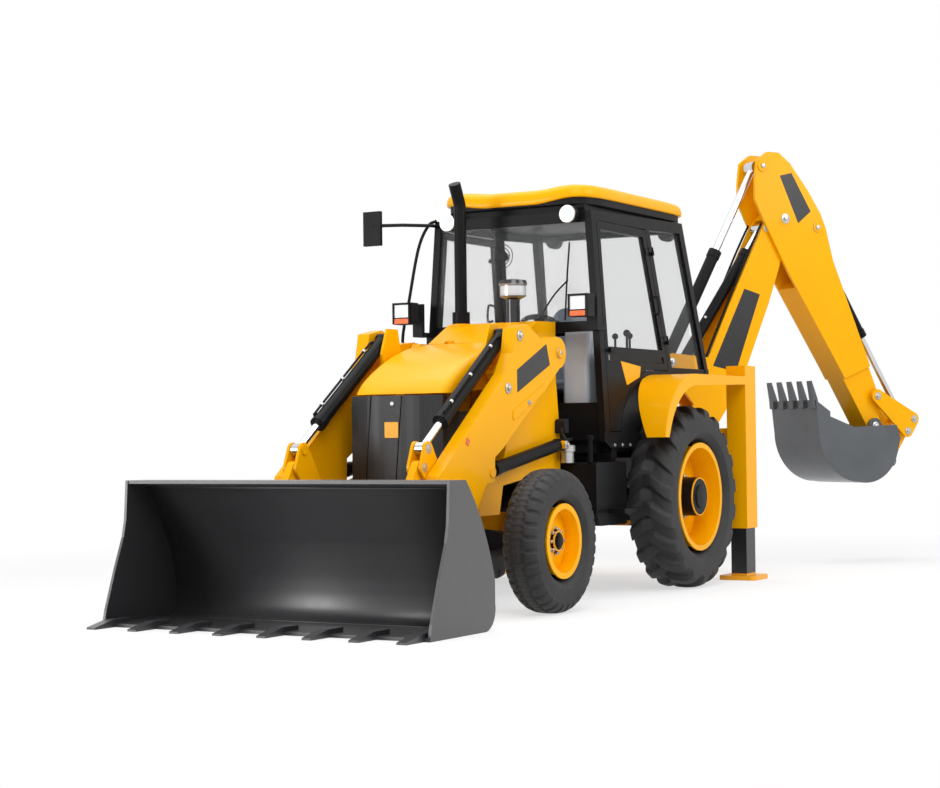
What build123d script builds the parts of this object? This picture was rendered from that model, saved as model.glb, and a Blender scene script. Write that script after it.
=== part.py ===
from math import cos, hypot, pi, radians, sin
import os

from build123d import *

# Backhoe loader, at rest with its shovel and both stabiliser pads on the ground.
# X points forward, Y to the machine's left and Z up. Lengths run from the rear axle,
# heights from the ground, all in millimetres. The digging end is swung to the left,
# and its pieces are drawn in their own upright plane: reach from the slew pin, height.

# Wheels and axles
wheelbase = 2170
front_tyre_radius = 440
front_tyre_width = 240
front_rim_radius = 205
front_track = 1830
rear_tyre_radius = 640
rear_tyre_width = 350
rear_rim_radius = 355
rear_track = 1670
rim_lip = 24
kingpin_y = 660
kingpin_radius = 25
spindle_end_y = 780
rear_axle_end_y = 625
rear_axle_radius = 105

# Clearances
pin_gap = 0.3
face_gap = 0.3
slide_gap = 0.5

# Chassis
rail_inner_y = 255
rail_thickness = 40
rail_bottom_z = 765
rail_top_z = 960
rail_front_x = wheelbase + 130
frame_front_x = wheelbase + 170
tow_eye_x = wheelbase + 185
tow_eye_radius = 22
axle_top_z = 524
tower_inner_y = 425
tower_outer_y = 490

# Loader, in side view as (x, z)
arm_pivot = (1400, 1620)
shovel_ram_base = (1900, 1720)
lever_top_pin = (2890, 1011)
lever_link_pin = (2935, 900)
lever_pivot = (2660, 620)
shovel_pivot = (3120, 250)
shovel_link_pin = (3215, 490)
lift_ram_base = (1340, 1020)
lift_ram_pin = (2300, 860)
arm_inner_y = 500
arm_outer_y = 590
shovel_ram_y = 445
lift_ram_y = 545
arm_pin_radius = 32
arm_tube = (2715, 445)

# Shovel
shovel_width = 2240
shovel_plate = 18
shovel_top_z = 845
shovel_lip_x = 3927
tooth_count = 8
tooth_length = 175
tooth_width = 62

# Cab and bonnet
wheel_room = 60
cab_floor_half_width = rear_track / 2 - rear_tyre_width / 2 - wheel_room
cab_half_width = cab_floor_half_width + 120
cab_floor_z = 1040
cab_roof_z = 2645
cab_lean = 4.0
bonnet_half_width = 345

# Rear frame and stabilisers
leg_x = -870
leg_y = 930
leg_tube_x = 200
leg_tube_y = 150
leg_tube_bottom_z = 380
leg_tube_top_z = 1580
leg_wall = 14
pad_size = 290
pad_thickness = 34
frame_rail_front_x = -810
frame_rail_rear_x = -930
lower_rail_z = (420, 540)
upper_rail_z = (1000, 1120)

# Digging end, as (reach, height) in its own plane
slew_angle = 32
slew_x = -1360
boom_foot = (270, 950)
boom_ram_base = (20, 1300)
dipper_pivot = (1205, 2823)
bucket_pivot = (2100, 1130)
boom_half_width = 100
dipper_half_width = 130
bucket_half_width = 300
slew_pin_radius = 60
digger_pin_radius = 35


def side_plane(y):
    """Upright plane along the machine: x forward, y up, facing the right side."""
    return Plane(origin=(0, y, 0), x_dir=(1, 0, 0), z_dir=(0, -1, 0))


def cross_plane(x):
    """Upright plane across the machine: x to the left, y up, facing forward."""
    return Plane(origin=(x, 0, 0), x_dir=(0, 1, 0), z_dir=(1, 0, 0))


def swing_plane(offset):
    """Upright plane of the digging end: x is reach from the slew pin, y is height."""
    turn = radians(slew_angle)
    across = (sin(turn), cos(turn), 0)
    start = (slew_x + across[0] * offset, across[1] * offset, 0)
    return Plane(origin=start, x_dir=(-cos(turn), sin(turn), 0), z_dir=across)


def span(start, end):
    return hypot(end[0] - start[0], end[1] - start[1])


def plane_from(base, start, end):
    """The base plane moved so that its origin is at start and its x points at end."""
    origin = base.from_local_coords((*start, 0))
    target = base.from_local_coords((*end, 0))
    return Plane(origin=origin, x_dir=target - origin, z_dir=base.z_dir)


def on_plane(plane, point):
    """Reach and height of a point given on a plane of the digging end."""
    place = swing_plane(0).to_local_coords(plane.from_local_coords((*point, 0)))
    return (place.X, place.Y)


def slab(plane, outline, thickness, rounding=0, mode=Mode.ADD):
    """A plate with the outline, centred on the plane."""
    with BuildSketch(plane) as shape:
        with BuildLine():
            Polyline(*outline, close=True)
        make_face()
        if rounding:
            fillet(shape.vertices(), rounding)
    extrude(shape.sketch, amount=thickness / 2, both=True, mode=mode)


def slab_between(plane_of, near, far, outline, rounding=0):
    """A plate with the outline, from offset near to offset far of a family of planes."""
    slab(plane_of((near + far) / 2), outline, abs(far - near), rounding)


def disc(plane, centre, radius, thickness, mode=Mode.ADD):
    """A round boss or hole, centred on the plane."""
    with BuildSketch(plane) as shape:
        with Locations(centre):
            Circle(radius)
    extrude(shape.sketch, amount=thickness / 2, both=True, mode=mode)


def bar(plane, start, end, half_start, half_end, thickness):
    """A flat bar with round ends, centred on the plane."""
    with BuildSketch(plane) as shape:
        with Locations(start):
            Circle(half_start)
        with Locations(end):
            Circle(half_end)
        make_hull()
    extrude(shape.sketch, amount=thickness / 2, both=True)


def block(x0, x1, y0, y1, z0, z1, mode=Mode.ADD):
    """A box between two corners."""
    centre = ((x0 + x1) / 2, (y0 + y1) / 2, (z0 + z1) / 2)
    with Locations(centre):
        Box(abs(x1 - x0), abs(y1 - y0), abs(z1 - z0), mode=mode)


def rod_along(plane, start, length, radius, mode=Mode.ADD):
    """A cylinder along a ram plane's x, from start."""
    origin = plane.from_local_coords((start, 0, 0))
    face = Plane(origin=origin, x_dir=plane.y_dir, z_dir=plane.x_dir)
    with BuildSketch(face) as shape:
        Circle(radius)
    extrude(shape.sketch, amount=length, mode=mode)


def ram_barrel(plane, length, radius, rod_radius, pin_radius, eye_width):
    """A ram's barrel with its base eye, hollow for the rod, on a ram plane."""
    eye_radius = radius * 0.95
    rod_along(plane, eye_radius * 0.6, length - eye_radius * 0.6, radius)
    rod_along(plane, length - radius * 1.3, radius * 1.3, radius * 1.12)
    disc(plane, (0, 0), eye_radius, eye_width)
    rod_along(plane, eye_radius * 1.8, length, rod_radius + pin_gap, mode=Mode.SUBTRACT)
    disc(plane, (0, 0), pin_radius + pin_gap, eye_width * 2, mode=Mode.SUBTRACT)


def ram_rod(plane, length, reach, radius, pin_radius, eye_width):
    """A ram's rod and its end eye, reach along the ram plane from the base pin."""
    eye_radius = pin_radius * 1.7
    rod_along(plane, reach - length, length - eye_radius * 0.6, radius)
    disc(plane, (reach, 0), eye_radius, eye_width)
    disc(plane, (reach, 0), pin_radius + pin_gap, eye_width * 2, mode=Mode.SUBTRACT)


def both_sides():
    """Repeats the open piece on the machine's other side."""
    mirror(about=Plane.XZ)


finished = []


def keep(piece, name):
    piece.part.label = name
    finished.append(piece.part)


def keep_pair(piece, left_name, right_name):
    """Keeps a left piece and its mirror image on the right."""
    keep(piece, left_name)
    with BuildPart() as other:
        add(mirror(piece.part, about=Plane.XZ, mode=Mode.PRIVATE))
    keep(other, right_name)


# Chassis frame: bolted and welded members that meet face to face. Two rails with cross
# members between them, the bolster over the front axle, the rear plate, and the brackets
# and outriggers that carry the towers and the cab
rail_outer_y = rail_inner_y + rail_thickness
rear_plate_x = frame_rail_front_x + face_gap
rear_plate_front_x = rear_plate_x + 30
pedestal_front_x = wheelbase + 90
with BuildPart() as chassis_frame:
    block(rear_plate_front_x + face_gap, rail_front_x, rail_inner_y, rail_outer_y,
          rail_bottom_z, rail_top_z)
    for tower_x in (1255, 2120):
        block(tower_x, tower_x + 110, rail_outer_y + face_gap, tower_inner_y - face_gap,
              800, 900)
    block(250, 340, rail_outer_y + face_gap, cab_floor_half_width + 50,
          rail_top_z - 40, rail_top_z)
    block(780, 870, rail_outer_y + face_gap, cab_half_width - 20, rail_top_z - 40, rail_top_z)
    block(790, 860, cab_half_width - 80, cab_half_width - 20, rail_top_z - 1,
          cab_floor_z - 3.5 - face_gap)
    both_sides()
    cross_half = rail_inner_y - face_gap
    for cross_x in (-560, 420, 1260, rail_front_x - 70):
        length = 70 if cross_x == rail_front_x - 70 else 90
        block(cross_x, cross_x + length, -cross_half, cross_half, rail_bottom_z, rail_top_z)
    block(rear_plate_x, rear_plate_front_x, -rail_outer_y, rail_outer_y, 430, rail_top_z)
    block(wheelbase - 90, pedestal_front_x, -120, 120, axle_top_z + face_gap, 701)
    block(wheelbase - 90, pedestal_front_x, -rail_outer_y, rail_outer_y, 700,
          rail_bottom_z - face_gap)
    block(pedestal_front_x + face_gap, tow_eye_x + 45, -60, 60, 590, 630)
    with Locations((tow_eye_x, 0, 610)):
        Cylinder(tow_eye_radius, 60, mode=Mode.SUBTRACT)
keep(chassis_frame, "chassis_frame")

# Loader towers: an upright plate each side with the arm pins and a strip to the nose
tower_side = [(1210, 700), (1500, 700), (1560, 900), (1980, 930), (1880, 1180), (1540, 1500),
              (1520, 1640), (1470, 1710), (1330, 1710), (1280, 1640), (1210, 1100)]
nose_side = [(1500, 830), (1990, 770), (2040, 590), (2290, 590), (2310, 800),
             (2060, 870), (1500, 960)]
with BuildPart() as loader_towers:
    slab_between(side_plane, tower_inner_y, tower_outer_y, tower_side)
    slab_between(side_plane, 455, tower_outer_y, nose_side)
    block(2120, 2230, tower_inner_y, 456, 780, 900)
    disc(side_plane(520), arm_pivot, arm_pin_radius, 180)
    disc(side_plane(540), lift_ram_base, 26, 130)
    both_sides()
keep(loader_towers, "loader_towers")

# Engine: one plain block between the rails
with BuildPart() as engine_block:
    block(1380, 2200, -rail_inner_y + face_gap, rail_inner_y - face_gap, 770, 1240)
keep(engine_block, "engine_block")

# Radiator cowl and front panel, split by two creases into three faces
with BuildPart() as radiator_grille:
    block(2240, 2440, -320, 320, rail_top_z + face_gap, 1320)
    with BuildSketch(Plane.XY.offset(640)) as panel:
        with BuildLine():
            Polyline((2400, -333), (2455, -333), (2495, -190), (2505, -60), (2505, 60),
                     (2495, 190), (2455, 333), (2400, 333), close=True)
        make_face()
    extrude(panel.sketch, amount=700)
    block(frame_front_x, 2420, -330, 330, 640, 980)
keep(radiator_grille, "radiator_grille")

# Opening bonnet: a shell with a crowned top, hinged at its rear edge
bonnet_rear_x = 1505
bonnet_bottom_z = 1350
bonnet_hinge = (1502, 1716)
bonnet_hinge_y = 180
bonnet_knuckle_length = 32


def bonnet_knuckle(side, low, high, radius, mode=Mode.ADD):
    """A round piece on the bonnet's hinge line, between offsets along Y."""
    disc(side_plane(side * bonnet_hinge_y + (low + high) / 2), bonnet_hinge, radius,
         high - low, mode)


with BuildPart() as bonnet:
    with BuildSketch(side_plane(0)) as bonnet_side:
        with BuildLine():
            Polyline((2300, bonnet_bottom_z), (bonnet_rear_x, 1420), (bonnet_rear_x, 1700))
            crown = ThreePointArc((bonnet_rear_x, 1700), (1960, 1625), (2330, 1450))
            TangentArc((2330, 1450), (2430, bonnet_bottom_z), tangent=crown % 1)
            Line((2430, bonnet_bottom_z), (2300, bonnet_bottom_z))
        make_face()
    extrude(bonnet_side.sketch, amount=bonnet_half_width, both=True)
    for side_face in (bonnet.faces().sort_by(Axis.Y)[-1], bonnet.faces().sort_by(Axis.Y)[0]):
        fillet(side_face.edges().filter_by(GeomType.CIRCLE), 60)
    hollow = [(bonnet_rear_x - 10, 1330), (bonnet_rear_x - 10, 1678), (1800, 1646),
              (2075, 1554), (2270, 1462), (2395, 1366), (2395, 1330)]
    with BuildSketch(side_plane(0)) as inside:
        with BuildLine():
            Polyline(*hollow, close=True)
        make_face()
    extrude(inside.sketch, amount=bonnet_half_width - 22, both=True, mode=Mode.SUBTRACT)
    for side in (-1, 1):
        bonnet_knuckle(side, 0, bonnet_knuckle_length, 9)
        block(1504, 1524, side * bonnet_hinge_y, side * bonnet_hinge_y + bonnet_knuckle_length,
              1690, 1716)
        bonnet_knuckle(side, -1, bonnet_knuckle_length + 1, 5 + pin_gap, Mode.SUBTRACT)
keep(bonnet, "bonnet")

# Fixed cowl between the bonnet and the cab, carrying the stack and the air bowl
cowl_front_x = bonnet_rear_x - 6
stack_y = -250
stack_x = 1220
stack_radius = 42
stack_foot_z = 1848
bowl_y = 200
bowl_x = 1300
bowl_foot_z = 1836
with BuildPart() as bonnet_cowl:
    cowl_side = [(975, 1250), (975, 1850), (1230, 1845), (cowl_front_x, 1705),
                 (cowl_front_x, 1250)]
    slab(side_plane(0), cowl_side, 2 * bonnet_half_width)
    fillet(bonnet_cowl.edges().filter_by(Axis.X, reverse=False), 50)
    block(990, cowl_front_x + 5, -320, 320, 1240, 1600, mode=Mode.SUBTRACT)
    block(975, 1005, -320, 320, rail_top_z + face_gap, 1260)
    with Locations((stack_x, stack_y, stack_foot_z - face_gap - 30)):
        Cylinder(66, 60)
    with Locations((bowl_x, bowl_y, bowl_foot_z - face_gap - 40)):
        Cylinder(58, 80)
    for side in (-1, 1):
        bonnet_knuckle(side, -bonnet_knuckle_length, -pin_gap, 9)
        bonnet_knuckle(side, -bonnet_knuckle_length, bonnet_knuckle_length, 5)
        block(1484, 1500, side * bonnet_hinge_y - bonnet_knuckle_length,
              side * bonnet_hinge_y - pin_gap, 1690, 1716)
keep(bonnet_cowl, "bonnet_cowl")

# Exhaust stack with its bent tip, right of the centreline
with BuildPart() as exhaust_stack:
    with BuildLine() as stack_route:
        FilletPolyline((stack_x, stack_y, stack_foot_z), (stack_x, stack_y, 2660),
                       (stack_x + 70, stack_y, 2800), radius=120)
    with BuildSketch(Plane(origin=(stack_x, stack_y, stack_foot_z), z_dir=(0, 0, 1))):
        Circle(stack_radius)
    sweep(path=stack_route.wire())
    with Locations((stack_x, stack_y, stack_foot_z + 40)):
        Cylinder(60, 80)
keep(exhaust_stack, "exhaust_stack")

# Air bowl with its neck and lid, left of the centreline
with BuildPart() as air_precleaner:
    with BuildSketch(side_plane(bowl_y)) as bowl:
        with BuildLine():
            Polyline((bowl_x, bowl_foot_z), (bowl_x + 45, bowl_foot_z), (bowl_x + 45, 1990),
                     (bowl_x + 88, 2012), (bowl_x + 88, 2085), (bowl_x + 98, 2092),
                     (bowl_x + 90, 2118), (bowl_x, 2132), close=True)
        make_face()
    revolve(bowl.sketch, axis=Axis((bowl_x, bowl_y, 0), (0, 0, 1)))
keep(air_precleaner, "air_precleaner")

# Black side tanks and steps under the cab
with BuildPart() as side_tanks:
    slab_between(side_plane, 430, 740,
                 [(720, 480), (1130, 480), (1180, 560), (1180, 900), (720, 900)], 20)
    block(250, 870, rail_outer_y, 430, rail_top_z - 160, rail_top_z - 41)
    slab_between(side_plane, 740, 860, [(760, 560), (1000, 560), (1000, 590), (760, 590)])
    both_sides()
keep(side_tanks, "side_tanks")

# Front axle: a centre-pivoted beam with an eye for each kingpin
with BuildPart() as front_axle:
    slab(cross_plane(wheelbase), [(-640, 391), (-590, 391), (-150, 360), (150, 360),
                                  (590, 391), (640, 391),
                                  (640, 489), (590, 489), (150, axle_top_z),
                                  (-150, axle_top_z), (-590, 489), (-640, 489)], 110)
    for sign in (-1, 1):
        with Locations((wheelbase, sign * kingpin_y, front_tyre_radius)):
            Cylinder(55, 100)
            Hole(kingpin_radius + pin_gap, 200)
keep(front_axle, "front_axle")

# Knuckle with its kingpin, spindle and steering arm
with BuildPart() as knuckle:
    hub = (wheelbase, kingpin_y, front_tyre_radius)
    with Locations(hub):
        Cylinder(kingpin_radius, 190)
    for level in (-1, 1):
        lift = front_tyre_radius + level * (50 + pin_gap + 20)
        with Locations((wheelbase, kingpin_y, lift)):
            Cylinder(50, 40)
        block(wheelbase - 45, wheelbase + 45, kingpin_y, kingpin_y + 75, lift - 20, lift + 20)
    block(wheelbase - 45, wheelbase + 45, kingpin_y + 60, kingpin_y + 85,
          front_tyre_radius - 90, front_tyre_radius + 90)
    disc(side_plane((kingpin_y + 60 + spindle_end_y) / 2), (wheelbase, front_tyre_radius),
         48, spindle_end_y - kingpin_y - 60)
    block(wheelbase - 190, wheelbase, kingpin_y - 30, kingpin_y + 20,
          front_tyre_radius - 90, front_tyre_radius - 60)
keep_pair(knuckle, "knuckle_left", "knuckle_right")

# Rear axle: housing tube with the round centre casing and end flanges
with BuildPart() as rear_axle:
    disc(side_plane(0), (0, rear_tyre_radius), rear_axle_radius, 2 * rear_axle_end_y)
    disc(side_plane(0), (0, rear_tyre_radius), 124, 330)
    for sign in (-1, 1):
        disc(side_plane(sign * (rear_axle_end_y - 20)), (0, rear_tyre_radius), 123, 40)
        block(-70, 70, sign * rail_inner_y, sign * rail_outer_y, rear_tyre_radius,
              rail_bottom_z - face_gap)
keep(rear_axle, "rear_axle")


tyre_facets = 32


def facet_rings(centre, stations, mode=Mode.ADD):
    """A solid of flat facets round an axle along Y, from a table of offset and radius."""
    rings = []
    for offset_y, ring_radius in stations:
        origin = (centre[0], centre[1] + offset_y, centre[2])
        with BuildSketch(Plane(origin=origin, x_dir=(1, 0, 0), z_dir=(0, 1, 0))) as ring:
            RegularPolygon(ring_radius, tyre_facets)
        rings.append(ring.sketch)
    loft(rings, ruled=True, mode=mode)


def tyre_crown(centre, radius, width, bulge, drop, mode=Mode.ADD):
    """The outside of a tyre from sidewall to sidewall."""
    shoulder = radius - drop
    facet_rings(centre, [(-width / 2, bulge), (-width * 0.46, shoulder),
                         (-width * 0.3, radius), (width * 0.3, radius),
                         (width * 0.46, shoulder), (width / 2, bulge)], mode)


def tyre(centre, radius, width, rim_radius, lug_height, lug_pairs):
    """A tyre round an axle along Y, with slanted lugs left and right in turn."""
    bead = width * 0.36
    bulge = rim_radius + (radius - rim_radius) * 0.5
    drop = (radius - rim_radius) * 0.12
    root = lug_height / 4
    for number in range(2 * lug_pairs):
        side = 1 if number % 2 else -1
        turn = pi * number / lug_pairs
        outward = (sin(turn), 0, cos(turn))
        foot = radius - lug_height - root
        start = (centre[0] + outward[0] * foot, centre[1], centre[2] + outward[2] * foot)
        with BuildSketch(Plane(origin=start, x_dir=(cos(turn), 0, -sin(turn)),
                               z_dir=outward)) as lug:
            with BuildLine():
                Polyline((-26, -side * 14), (28, -side * 14), (100, side * width * 0.6),
                         (36, side * width * 0.6), close=True)
            make_face()
        extrude(lug.sketch, amount=lug_height * 1.6)
    if lug_pairs:
        tyre_crown(centre, radius, width, bulge, drop, Mode.INTERSECT)
    tyre_crown(centre, radius - lug_height, width - lug_height * 0.4, bulge, drop)
    flange = (rim_radius + rim_lip + face_gap) / cos(pi / tyre_facets)
    for sign in (-1, 1):
        facet_rings(centre, [(sign * bead, flange), (sign * width / 2, bulge - 6),
                             (sign * (width / 2 + 5), bulge - 6)], Mode.SUBTRACT)
    wheel_plane = Plane(origin=centre, x_dir=(1, 0, 0), z_dir=(0, -1, 0))
    disc(wheel_plane, (0, 0), rim_radius, 2 * width, Mode.SUBTRACT)


def rim(centre, width, seat, lip, hub_radius, hub_inner, hub_outer, disc_at):
    """A wheel rim: barrel, lips, dished disc and hub, offsets along Y from its centre."""
    edge = width * 0.36
    wall = 12
    with BuildSketch(Plane(origin=centre, x_dir=(0, 1, 0), z_dir=(1, 0, 0))) as section:
        with BuildLine():
            Polyline((-edge - wall, seat - wall), (disc_at - 30, seat - wall),
                     (disc_at, hub_radius + 20), (hub_inner, hub_radius * 0.8),
                     (hub_inner, 0), (hub_outer, 0), (hub_outer, hub_radius),
                     (disc_at + wall, hub_radius), (disc_at + wall, hub_radius + 20),
                     (disc_at - 14, seat - wall), (edge + wall, seat - wall),
                     (edge + wall, seat + lip), (edge, seat + lip), (edge, seat),
                     (-edge, seat), (-edge, seat + lip), (-edge - wall, seat + lip),
                     close=True)
        make_face()
    revolve(section.sketch, axis=Axis(centre, (0, 1, 0)))


wheel_table = [
    # name, x, half track, tyre radius, tyre width, rim seat, hub radius, hub face, disc,
    # lug height, pairs of lugs
    ("front", wheelbase, front_track / 2, front_tyre_radius, front_tyre_width,
     front_rim_radius, 62, 58, 20, 0, 0),
    ("rear", 0, rear_track / 2, rear_tyre_radius, rear_tyre_width,
     rear_rim_radius, 134, 130, -30, 32, 15),
]
axle_ends = {"front": spindle_end_y, "rear": rear_axle_end_y}
for (name, x, half_track, radius, width, seat, hub_radius, hub_face, disc_at, lug_height,
     lug_pairs) in wheel_table:
    centre = (x, half_track, radius)
    with BuildPart() as wheel_tyre:
        tyre(centre, radius, width, seat, lug_height, lug_pairs)
    keep_pair(wheel_tyre, f"{name}_tyre_left", f"{name}_tyre_right")
    with BuildPart() as wheel_rim:
        rim(centre, width, seat, rim_lip, hub_radius,
            axle_ends[name] + face_gap - half_track, hub_face, disc_at)
    keep_pair(wheel_rim, f"{name}_rim_left", f"{name}_rim_right")

# Rear fenders: flat top over the wheel, curving down in front of it
fender_inner_y = 691
fender_outer_y = 1010
with BuildPart() as rear_fenders:
    with BuildSketch(side_plane((fender_inner_y + fender_outer_y) / 2)) as arch:
        with BuildLine():
            Polyline((-765, 1465), (-765, 1500), (150, 1500))
            ThreePointArc((150, 1500), (530, 1340), (670, 1060))
            Line((670, 1060), (635, 1060))
            ThreePointArc((635, 1060), (505, 1315), (145, 1465))
            Line((145, 1465), (-765, 1465))
        make_face()
    extrude(arch.sketch, amount=(fender_outer_y - fender_inner_y) / 2, both=True)
    with BuildSketch(side_plane(fender_outer_y - 10)) as skirt:
        with BuildLine():
            Polyline((-765, 1440), (-765, 1500), (150, 1500))
            ThreePointArc((150, 1500), (530, 1340), (670, 1060))
            Line((670, 1060), (600, 1060))
            ThreePointArc((600, 1060), (450, 1290), (140, 1420))
            Line((140, 1420), (-765, 1440))
        make_face()
    extrude(skirt.sketch, amount=10, both=True)
    slab(cross_plane(500), [(fender_inner_y - 10, 1030), (fender_inner_y + 195, 1030),
                            (fender_inner_y, 1465), (fender_inner_y - 10, 1465)], 900,
         mode=Mode.SUBTRACT)
    both_sides()
keep(rear_fenders, "rear_fenders")

# Cab frame: leaning sides with door and quarter openings, tied by cross bars and the
# roof lining
side_thickness = 50
side_lean = radians(cab_lean)
side_foot = (0, cab_half_width, cab_floor_z)


def cab_side(inset):
    """Leaning plane of the cab's left side: x forward, y up it from the floor, inset
    inward."""
    outward = (0, cos(side_lean), sin(side_lean))
    origin = (0, side_foot[1] - inset * outward[1], side_foot[2] - inset * outward[2])
    return Plane(origin=origin, x_dir=(1, 0, 0), z_dir=(0, -outward[1], -outward[2]))


door_gap = 6
cab_height = cab_roof_z - cab_floor_z
door_top = cab_height - 111
door_outline = [(899, 66), (884, 750), (874, door_top), (105, door_top), (-103, 565),
                (-103, 497), (250, 497), (490, 417), (700, 200), (740, 66)]
side_outline = [(985, 0), (960, 750), (950, cab_height - 45), (-560, cab_height - 5),
                (-840, 480), (-840, 452), (-60, 452), (-60, 290), (110, 280), (270, 235),
                (420, 150), (545, 0)]
quarter_hole = [(30, cab_height - 105), (-500, cab_height - 85), (-770, 520), (-180, 520)]

# Door hinges: their line runs up the middle pillar, just outside the cab side
hinge_line = ((-140, 565), (64, door_top))
hinge_out = 13
hinge_radius = 10
hinge_pin_radius = 5
hinge_half = 30
hinge_length = span(*hinge_line)
hinge_places = (0.16 * hinge_length, 0.84 * hinge_length)
hinge_plane = plane_from(cab_side(-hinge_out), *hinge_line)


def hinge_pin(low, high):
    rod_along(hinge_plane, low, high - low, hinge_pin_radius)


def hinge_barrel(low, high, bore):
    rod_along(hinge_plane, low, high - low, hinge_radius)
    if bore:
        rod_along(hinge_plane, low, high - low, bore, mode=Mode.SUBTRACT)


def hinge_leaf(low, high, back, front):
    """A flat leaf on the cab side, back and front of the hinge line."""
    leaf_plane = plane_from(cab_side(-hinge_out / 2), *hinge_line)
    slab(leaf_plane, [(low, -front), (high, -front), (high, -back), (low, -back)],
         hinge_out)


with BuildPart() as cab_frame:
    middle = cab_side(side_thickness / 2)
    slab(middle, side_outline, side_thickness)
    for hole, gap in ((door_outline, door_gap), (quarter_hole, 0)):
        with BuildSketch(middle) as opening:
            with BuildLine():
                Polyline(*hole, close=True)
            make_face()
            if gap:
                offset(amount=gap, kind=Kind.INTERSECTION)
        extrude(opening.sketch, amount=side_thickness, both=True, mode=Mode.SUBTRACT)
    for at in hinge_places:
        hinge_barrel(at - hinge_half, at - pin_gap, 0)
        hinge_pin(at - hinge_half, at + hinge_half)
        hinge_leaf(at - hinge_half, at - pin_gap, -28, 0)
    both_sides()
    top_y = cab_half_width - 145
    block(900, 945, -top_y, top_y, cab_roof_z - 125, cab_roof_z - 45)
    block(-540, -490, -top_y, top_y, cab_roof_z - 85, cab_roof_z - face_gap)
    block(-490.5, 900.5, -top_y + 35, top_y - 35, cab_roof_z - 46, cab_roof_z - face_gap)
    sill_y = cab_half_width - 55
    block(915, 952, -sill_y, sill_y, 1780, 1850)
    foot_y = cab_half_width - 30
    block(-830, -770, -foot_y, foot_y, 1493, 1560)
    block(905, 955, -foot_y, -360, 1045, 1800)
    block(905, 955, 360, foot_y, 1045, 1300)
    block(905, 955, -365, 365, 1045, 1240)
keep(cab_frame, "cab_frame")

# Cab roof: a shallow cap with a rounded plan and a raised brow along each side
roof_length = 1744
roof_width = 2 * cab_half_width - 232
with BuildPart() as cab_roof:
    roof_layers = []
    for height, inset in ((0, 20), (36, 0), (92, 12), (112, 45)):
        with BuildSketch(Plane.XY.offset(cab_roof_z + height)) as layer:
            with Locations((102, 0)):
                RectangleRounded(roof_length - 2 * inset, roof_width - 2 * inset, 110 - inset)
        roof_layers.append(layer.sketch)
    loft(roof_layers, ruled=True)
    brow_out = roof_width / 2 - 20
    for sign in (-1, 1):
        brow = [(sign * (brow_out - 215), cab_roof_z + 105),
                (sign * (brow_out - 165), cab_roof_z + 148),
                (sign * (brow_out - 50), cab_roof_z + 148), (sign * brow_out, cab_roof_z + 80)]
        slab(cross_plane(102), brow, roof_length - 150)
keep(cab_roof, "cab_roof")

# Fixed panes: windscreen, rear window, quarter panes
glass_thickness = 6
with BuildPart() as cab_glass:
    slab(cab_side(side_thickness / 2), quarter_hole, glass_thickness)
    both_sides()
    pane_low_y = cab_half_width - 109
    pane_top_y = cab_half_width - 155
    slab(cross_plane(928), [(-pane_low_y, 1850), (pane_low_y, 1850),
                            (pane_top_y, cab_roof_z - 125), (-pane_top_y, cab_roof_z - 125)],
         glass_thickness)
    rear_low = (-791, 1561)
    rear_top = (-518, cab_roof_z - 86)
    rear_pane = plane_from(side_plane(0), rear_low, rear_top)
    rear_half = span(rear_low, rear_top) / 2
    slab(Plane(origin=rear_pane.from_local_coords((rear_half, 0, 0)), x_dir=(0, 1, 0),
               z_dir=-rear_pane.y_dir),
         [(-cab_half_width + 120, -rear_half), (cab_half_width - 120, -rear_half),
          (cab_half_width - 160, rear_half), (-cab_half_width + 160, rear_half)],
         glass_thickness)
keep(cab_glass, "cab_glass")

# Side doors, hung on their rear edge, each a frame with a lower panel and a pane
door_thickness = 36
door_window = [(840, 640), (828, 1440), (150, 1440), (-35, 640)]
door_low_window = [(845, 545), (843, 590), (-40, 590), (-50, 545)]
with BuildPart() as door:
    middle = cab_side(door_thickness / 2)
    slab(middle, door_outline, door_thickness)
    for hole in (door_window, door_low_window):
        with BuildSketch(middle) as opening:
            with BuildLine():
                Polyline(*hole, close=True)
            make_face()
        extrude(opening.sketch, amount=door_thickness, both=True, mode=Mode.SUBTRACT)
    for at in hinge_places:
        hinge_leaf(at + pin_gap, at + hinge_half, 46, 110)
        slab(plane_from(cab_side(-hinge_out), *hinge_line),
             [(at + pin_gap, 0), (at + hinge_half, 0), (at + hinge_half, -60),
              (at + pin_gap, -60)], 8)
        hinge_barrel(at + pin_gap, at + hinge_half, hinge_pin_radius + pin_gap)
    slab(cab_side(-12), [(780, 602), (850, 602), (850, 627), (780, 627)], 24)
keep_pair(door, "door_left", "door_right")
with BuildPart() as door_pane:
    slab(cab_side(door_thickness / 2), door_window, glass_thickness)
    slab(cab_side(door_thickness / 2), door_low_window, glass_thickness)
keep_pair(door_pane, "door_glass_left", "door_glass_right")

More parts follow.
